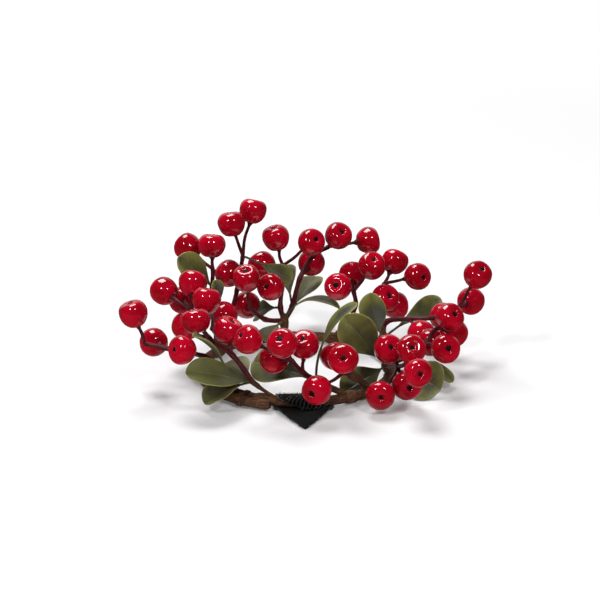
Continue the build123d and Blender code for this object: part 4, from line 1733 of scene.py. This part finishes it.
@dataclass
class Strap:
    """The black hook-and-loop strap: one strip round the ring, its pointed tongue in front.

    `width` is that of the solids' strap, and `shown` that of the strip as it is drawn.
    """

    wear: Wardrobe
    angle: float = -88.0
    width: float = 24.0 * MM
    shown: float = 23.0 * MM
    thickness: float = 0.8 * MM
    tongue: float = 22.0 * MM
    fold: float = 8.3 * MM
    flat_run: float = 3.0 * MM
    foot: float = 2.0 * MM
    over: tuple[tuple[float, float], ...] = ((0.5, 0.98), (1.02, 0.45))
    lap_bend: tuple[float, float] = (1.18, 0.5)
    lap: float = 4.2 * MM
    left_slant: tuple[float, float] = (-10.0 * MM, 0.5 * MM)
    right_slant: tuple[float, float] = (4.5 * MM, 11.6 * MM)
    curl: float = 2.4 * MM
    clearance: float = 0.05 * MM
    wall_share: float = 0.9
    tip_share: float = 0.02
    spacing: float = 0.6 * MM
    width_steps: int = 30
    bend: float = 1.2 * MM
    hairs: int = 900
    pile: int = 300
    hair_range: tuple[float, float] = (0.5 * MM, 1.4 * MM)
    hair_sides: int = 3
    hair_radius: float = 0.11 * MM
    hair_root: float = 0.3 * MM
    hair_floor: float = 0.12 * MM
    hair_bend: float = 0.3
    hair_seam: Place = (0.3, 0.5, 0.8)
    pile_root: float = 0.2 * MM
    seed: int = 11

    def __post_init__(self) -> None:
        """Work out the strip's place on the ring."""
        self.out = compass(self.angle)
        self.along = compass(self.angle + 90)
        self.origin = RING.inner_centre + self.out * RING.radius
        inside = RING.radius - RING.body
        self.bow = inside - math.sqrt(inside**2 - self.width**2 / 4)
        self.loop = RING.body + self.clearance + self.thickness / 2

    def centre_line(self) -> list[Vector]:
        """The strip's middle line from the tongue's tip to the end of the lap, as (out, up)."""
        low = -self.loop + self.thickness
        back = [
            Vector((self.loop * math.cos(angle) - self.bow, self.loop * math.sin(angle), 0))
            for angle in map(math.radians, range(-90, -271, -15))
        ]
        corners = [
            Vector((self.tongue, -self.loop, 0)),
            Vector((self.fold + self.flat_run, -self.loop, 0)),
            Vector((self.fold, -self.loop, 0)),
            Vector((self.foot, -self.loop, 0)),
            *back,
            *(Vector((out * self.loop, up * self.loop, 0)) for out, up in self.over),
            Vector((self.lap_bend[0] * self.loop, self.lap_bend[1] * low, 0)),
            Vector((self.lap, low, 0)),
        ]
        return smooth_run(corners, self.spacing)

    @staticmethod
    def turning_point(line: Sequence[Vector]) -> int:
        """The index of the middle line's innermost point, behind the ring."""
        return min(range(len(line)), key=lambda i: line[i].x)

    def world(self, here: Vector, across: float, curl: float = 0.0) -> Vector:
        """The world point at a place across the strip, lifted by a curl."""
        return self.origin + self.out * here.x + self.along * across + UP * (here.y + curl)

    def edge_at(self, here: Vector, upper: bool, side: Side) -> float:
        """Where an edge of the strip lies across the ring.

        Args:
            here: the point of the middle line, as (out, up).
            upper: whether this is the layer that comes back over the ring.
            side: which edge.

        Returns:
            The place across, negative to the left.
        """
        base = self.loop + self.thickness / 2
        if upper:
            down = (self.loop - here.y) / (2 * self.loop - self.thickness)
            share = max(0.0, min(1.0, down)) if here.x > 0 else 0.0
            behind, front = self.left_slant if side is Side.LEFT else self.right_slant
            return behind + (front - behind) * share
        if here.x < base:
            return side.value * self.shown / 2
        point = max(self.tip_share, (self.tongue - here.x) / (self.tongue - base))
        return side.value * self.shown / 2 * point

    def curl_at(self, out: float, across: float) -> float:
        """How far the tongue's sides curl up from the table, at a place out and across."""
        reach = max(0.0, min(1.0, (out - self.loop / 2) / self.loop))
        return self.curl * reach * (abs(across) / (self.width / 2)) ** 2

    def strip(self) -> bpy.types.Object:
        """The strip: a grid drawn round the ring, then given its thickness."""
        line = self.centre_line()
        turn = self.turning_point(line)
        Bench.clear()
        bpy.ops.mesh.primitive_grid_add(
            x_subdivisions=len(line) - 1, y_subdivisions=self.width_steps, size=1, calc_uvs=True
        )
        strip = bpy.context.object
        strip.name = "hook_and_loop_strap"
        for vert in strip.data.vertices:
            index = round((vert.co.x + 0.5) * (len(line) - 1))
            here = line[index]
            left, right = (self.edge_at(here, index > turn, side) for side in Side)
            across = left + (right - left) * (vert.co.y + 0.5)
            vert.co = self.world(here, across, self.curl_at(here.x, across) if index < turn else 0.0)
        wall = strip.modifiers.new("wall", "SOLIDIFY")
        wall.thickness = self.thickness * self.wall_share
        wall.offset = 0.0
        Bench.apply_all(strip)
        strip.data.materials.append(self.wear.strap)
        strip.data.shade_smooth()
        return strip

    def hair_spots(self, chance: random.Random) -> list[tuple[Vector, Vector]]:
        """Where the fibres of the edges and of the upper layer start.

        Args:
            chance: source of their places and ways.

        Returns:
            Pairs of a starting point and the way the fibre points.
        """
        spots: list[tuple[Vector, Vector]] = []
        line = self.centre_line()
        turn = self.turning_point(line)
        for _ in range(self.hairs):
            index = chance.randrange(len(line) - 1)
            here = line[index]
            side = chance.choice(list(Side))
            edge = self.edge_at(here, index > turn, side)
            start = self.world(here, edge, self.curl_at(here.x, edge) if index < turn else 0.0)
            way = self.along * side.value + self.out * chance.uniform(-0.2, 0.7)
            way += UP * chance.uniform(-0.1, 0.5)
            spots.append((start, way.normalized()))
        for _ in range(self.pile):
            index = chance.randrange(turn + 1, len(line) - 1)
            here = line[index]
            left, right = (self.edge_at(here, True, side) for side in Side)
            ahead = (line[index + 1] - line[index - 1]).normalized()
            normal = self.out * -ahead.y + UP * ahead.x
            start = self.world(here, chance.uniform(left, right)) - normal * self.pile_root
            way = normal + self.along * chance.uniform(-0.8, 0.8) + self.out * chance.uniform(-0.5, 0.5)
            spots.append((start, way.normalized()))
        return spots

    def fringe(self) -> bpy.types.Object:
        """Short frayed fibres along the strip's edges and on its upper layer."""
        chance = random.Random(self.seed)
        work = bmesh.new()
        for start, way in self.hair_spots(chance):
            length = chance.uniform(*self.hair_range)
            bend = Vector((chance.uniform(-1, 1), chance.uniform(-1, 1), chance.uniform(0, 1)))
            end = start + way * length + bend * length * self.hair_bend
            run = [start - way * self.hair_root, start + way * length * 0.5, end]
            for point in run:
                point.z = max(point.z, self.hair_floor)

            def radius(along: float, turn: float, full: float = length + self.hair_root) -> float:
                """The fibre's radius, thinner to its end."""
                return self.hair_radius * (1 - 0.5 * along / full)

            Bench.tube(work, run, radius, self.hair_sides, first_up=Vector(self.hair_seam))
        return Bench.piece("strap_fringe", work, self.wear.fibre)

    def build(self) -> None:
        """Make the strip and its frayed edge."""
        strip, fringe = self.strip(), self.fringe()
        start = self.origin + self.out * (self.fold - self.bend)
        end = self.origin + self.out * (self.fold + self.bend)
        for piece in (strip, fringe):
            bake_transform(piece)
        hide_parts("strap_wrap", "strap_tongue")
        length = run_length(self.centre_line())
        LOG.info("%s is %.1f mm long, with %s on it", strip.name, length / MM, fringe.name)


@dataclass(frozen=True)
class Lamp:
    """A square soft lamp: its place, its side in metres and its power in watts."""

    name: str
    place: Place
    size: float
    power: float


@dataclass
class Studio:
    """The floor, the light and the camera."""

    lens: float = 126.0
    sensor: float = 36.0
    place: Place = (0.0, -0.8419, 0.3270)
    tilt: float = 70.8
    floor_size: float = 6.0
    fill: float = 0.18
    front_wall: float = 0.03
    back_wall: float = 0.8
    wall_turn: tuple[float, float] = (0.55, 0.95)
    glow: float = 0.12
    table_edge: tuple[float, float] = (0.03, 0.07)
    far_floor: tuple[float, float] = (0.15, 0.6)
    pale: Colour = (0.86, 0.86, 0.87, 1.0)
    gloom: Colour = (0.03, 0.03, 0.03, 1.0)
    white: Colour = (1.0, 1.0, 1.0, 1.0)
    aim: Place = (0.0, 0.0, 0.03)
    lamps: tuple[Lamp, ...] = (
        Lamp("left_flash", (-0.55, -0.75, 0.85), 0.17, 4.9),
        Lamp("right_flash", (0.45, -0.80, 0.90), 0.17, 4.9),
        Lamp("back_box", (-0.22, 0.42, 1.00), 0.50, 10.5),
    )

    def floor(self) -> None:
        """A pale floor that keeps the object's shadow."""
        bpy.ops.mesh.primitive_plane_add(size=self.floor_size, location=(0, 0, 0))
        floor = bpy.context.object
        floor.name = "studio_floor"
        finish = Finish("studio_floor")
        path = finish.rays()
        here = finish.place()
        near = [abs(finish.axis(here, axis)).between(*self.table_edge) for axis in (Axis.X, Axis.Y)]
        gone = (near[0] + near[1]).at_most(1.0) * path[PathRay.GLOSSY]
        finish.coat(Base_Color=finish.tint(gone, self.pale, self.gloom), Roughness=0.7)
        glow = finish.tree.nodes.new("ShaderNodeEmission")
        glow.inputs["Strength"].default_value = 1.0
        mix = finish.tree.nodes.new("ShaderNodeMixShader")
        far = finish.axis(here, Axis.Y).between(*self.far_floor) * (1.0 - self.glow) + self.glow
        finish.feed(mix.inputs[0], path[PathRay.CAMERA] * far)
        finish.tree.links.new(finish.shader.outputs[0], mix.inputs[1])
        finish.tree.links.new(glow.outputs[0], mix.inputs[2])
        finish.tree.links.new(mix.outputs[0], finish.output.inputs[0])
        floor.data.materials.append(finish.material)

    def surround(self) -> None:
        """White walls: full where they are seen, softer as light, and dark in front where mirrored."""
        world = bpy.data.worlds.new("white_surround")
        bpy.context.scene.world = world
        world.use_nodes = True
        finish = Finish.on_tree(world.node_tree)
        path = finish.rays()
        depth = finish.axis(finish.node("ShaderNodeTexCoord", out="Generated"), Axis.Y)
        mirrored = depth.between(*self.wall_turn) * (self.back_wall - self.front_wall) + self.front_wall
        strength = path[PathRay.GLOSSY] * (mirrored - self.fill) + self.fill
        strength = path[PathRay.CAMERA] * (1.0 - strength) + strength
        strength = path[PathRay.TRANSMISSION] * (1.0 - strength) + strength
        back = finish.node("ShaderNodeBackground", None, {"Color": self.white, "Strength": strength})
        output = finish.tree.nodes.new("ShaderNodeOutputWorld")
        finish.tree.links.new(back.socket, output.inputs[0])

    def light(self, lamp: Lamp) -> None:
        """Hang a lamp and point it at the ring.

        Args:
            lamp: its plan.
        """
        light = bpy.data.lights.new(lamp.name, "AREA")
        light.size = lamp.size
        light.energy = lamp.power
        holder = bpy.data.objects.new(lamp.name, light)
        holder.location = lamp.place
        aim = Vector(self.aim) - Vector(lamp.place)
        holder.rotation_euler = aim.to_track_quat("-Z", "Y").to_euler()
        bpy.context.scene.collection.objects.link(holder)

    def camera(self) -> None:
        """The camera at the photograph's angle."""
        data = bpy.data.cameras.new("photo_camera")
        data.lens = self.lens
        data.sensor_width = self.sensor
        data.sensor_fit = "HORIZONTAL"
        camera = bpy.data.objects.new("photo_camera", data)
        camera.location = self.place
        camera.rotation_euler = (math.radians(self.tilt), 0.0, 0.0)
        bpy.context.scene.collection.objects.link(camera)
        bpy.context.scene.camera = camera

    def build(self) -> None:
        """Set up the whole studio."""
        Bench.clear()
        self.floor()
        self.surround()
        for lamp in self.lamps:
            self.light(lamp)
        self.camera()
        bpy.context.scene.view_settings.view_transform = "Standard"


def write_sizes() -> None:
    """Update the view layer; no sizes are kept or compared."""
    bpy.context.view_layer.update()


def main() -> None:
    """Build the object piece by piece, then the studio."""
    logging.basicConfig(level=logging.INFO, format="%(name)s: %(message)s")
    wear = Wardrobe()
    BerryClusters(wear).build()
    Twigs(wear).build()
    TapeWork(wear).build()
    Foliage(wear).build()
    Strap(wear).build()
    Studio().build()
    write_sizes()


if __name__ == "__main__":
    main()
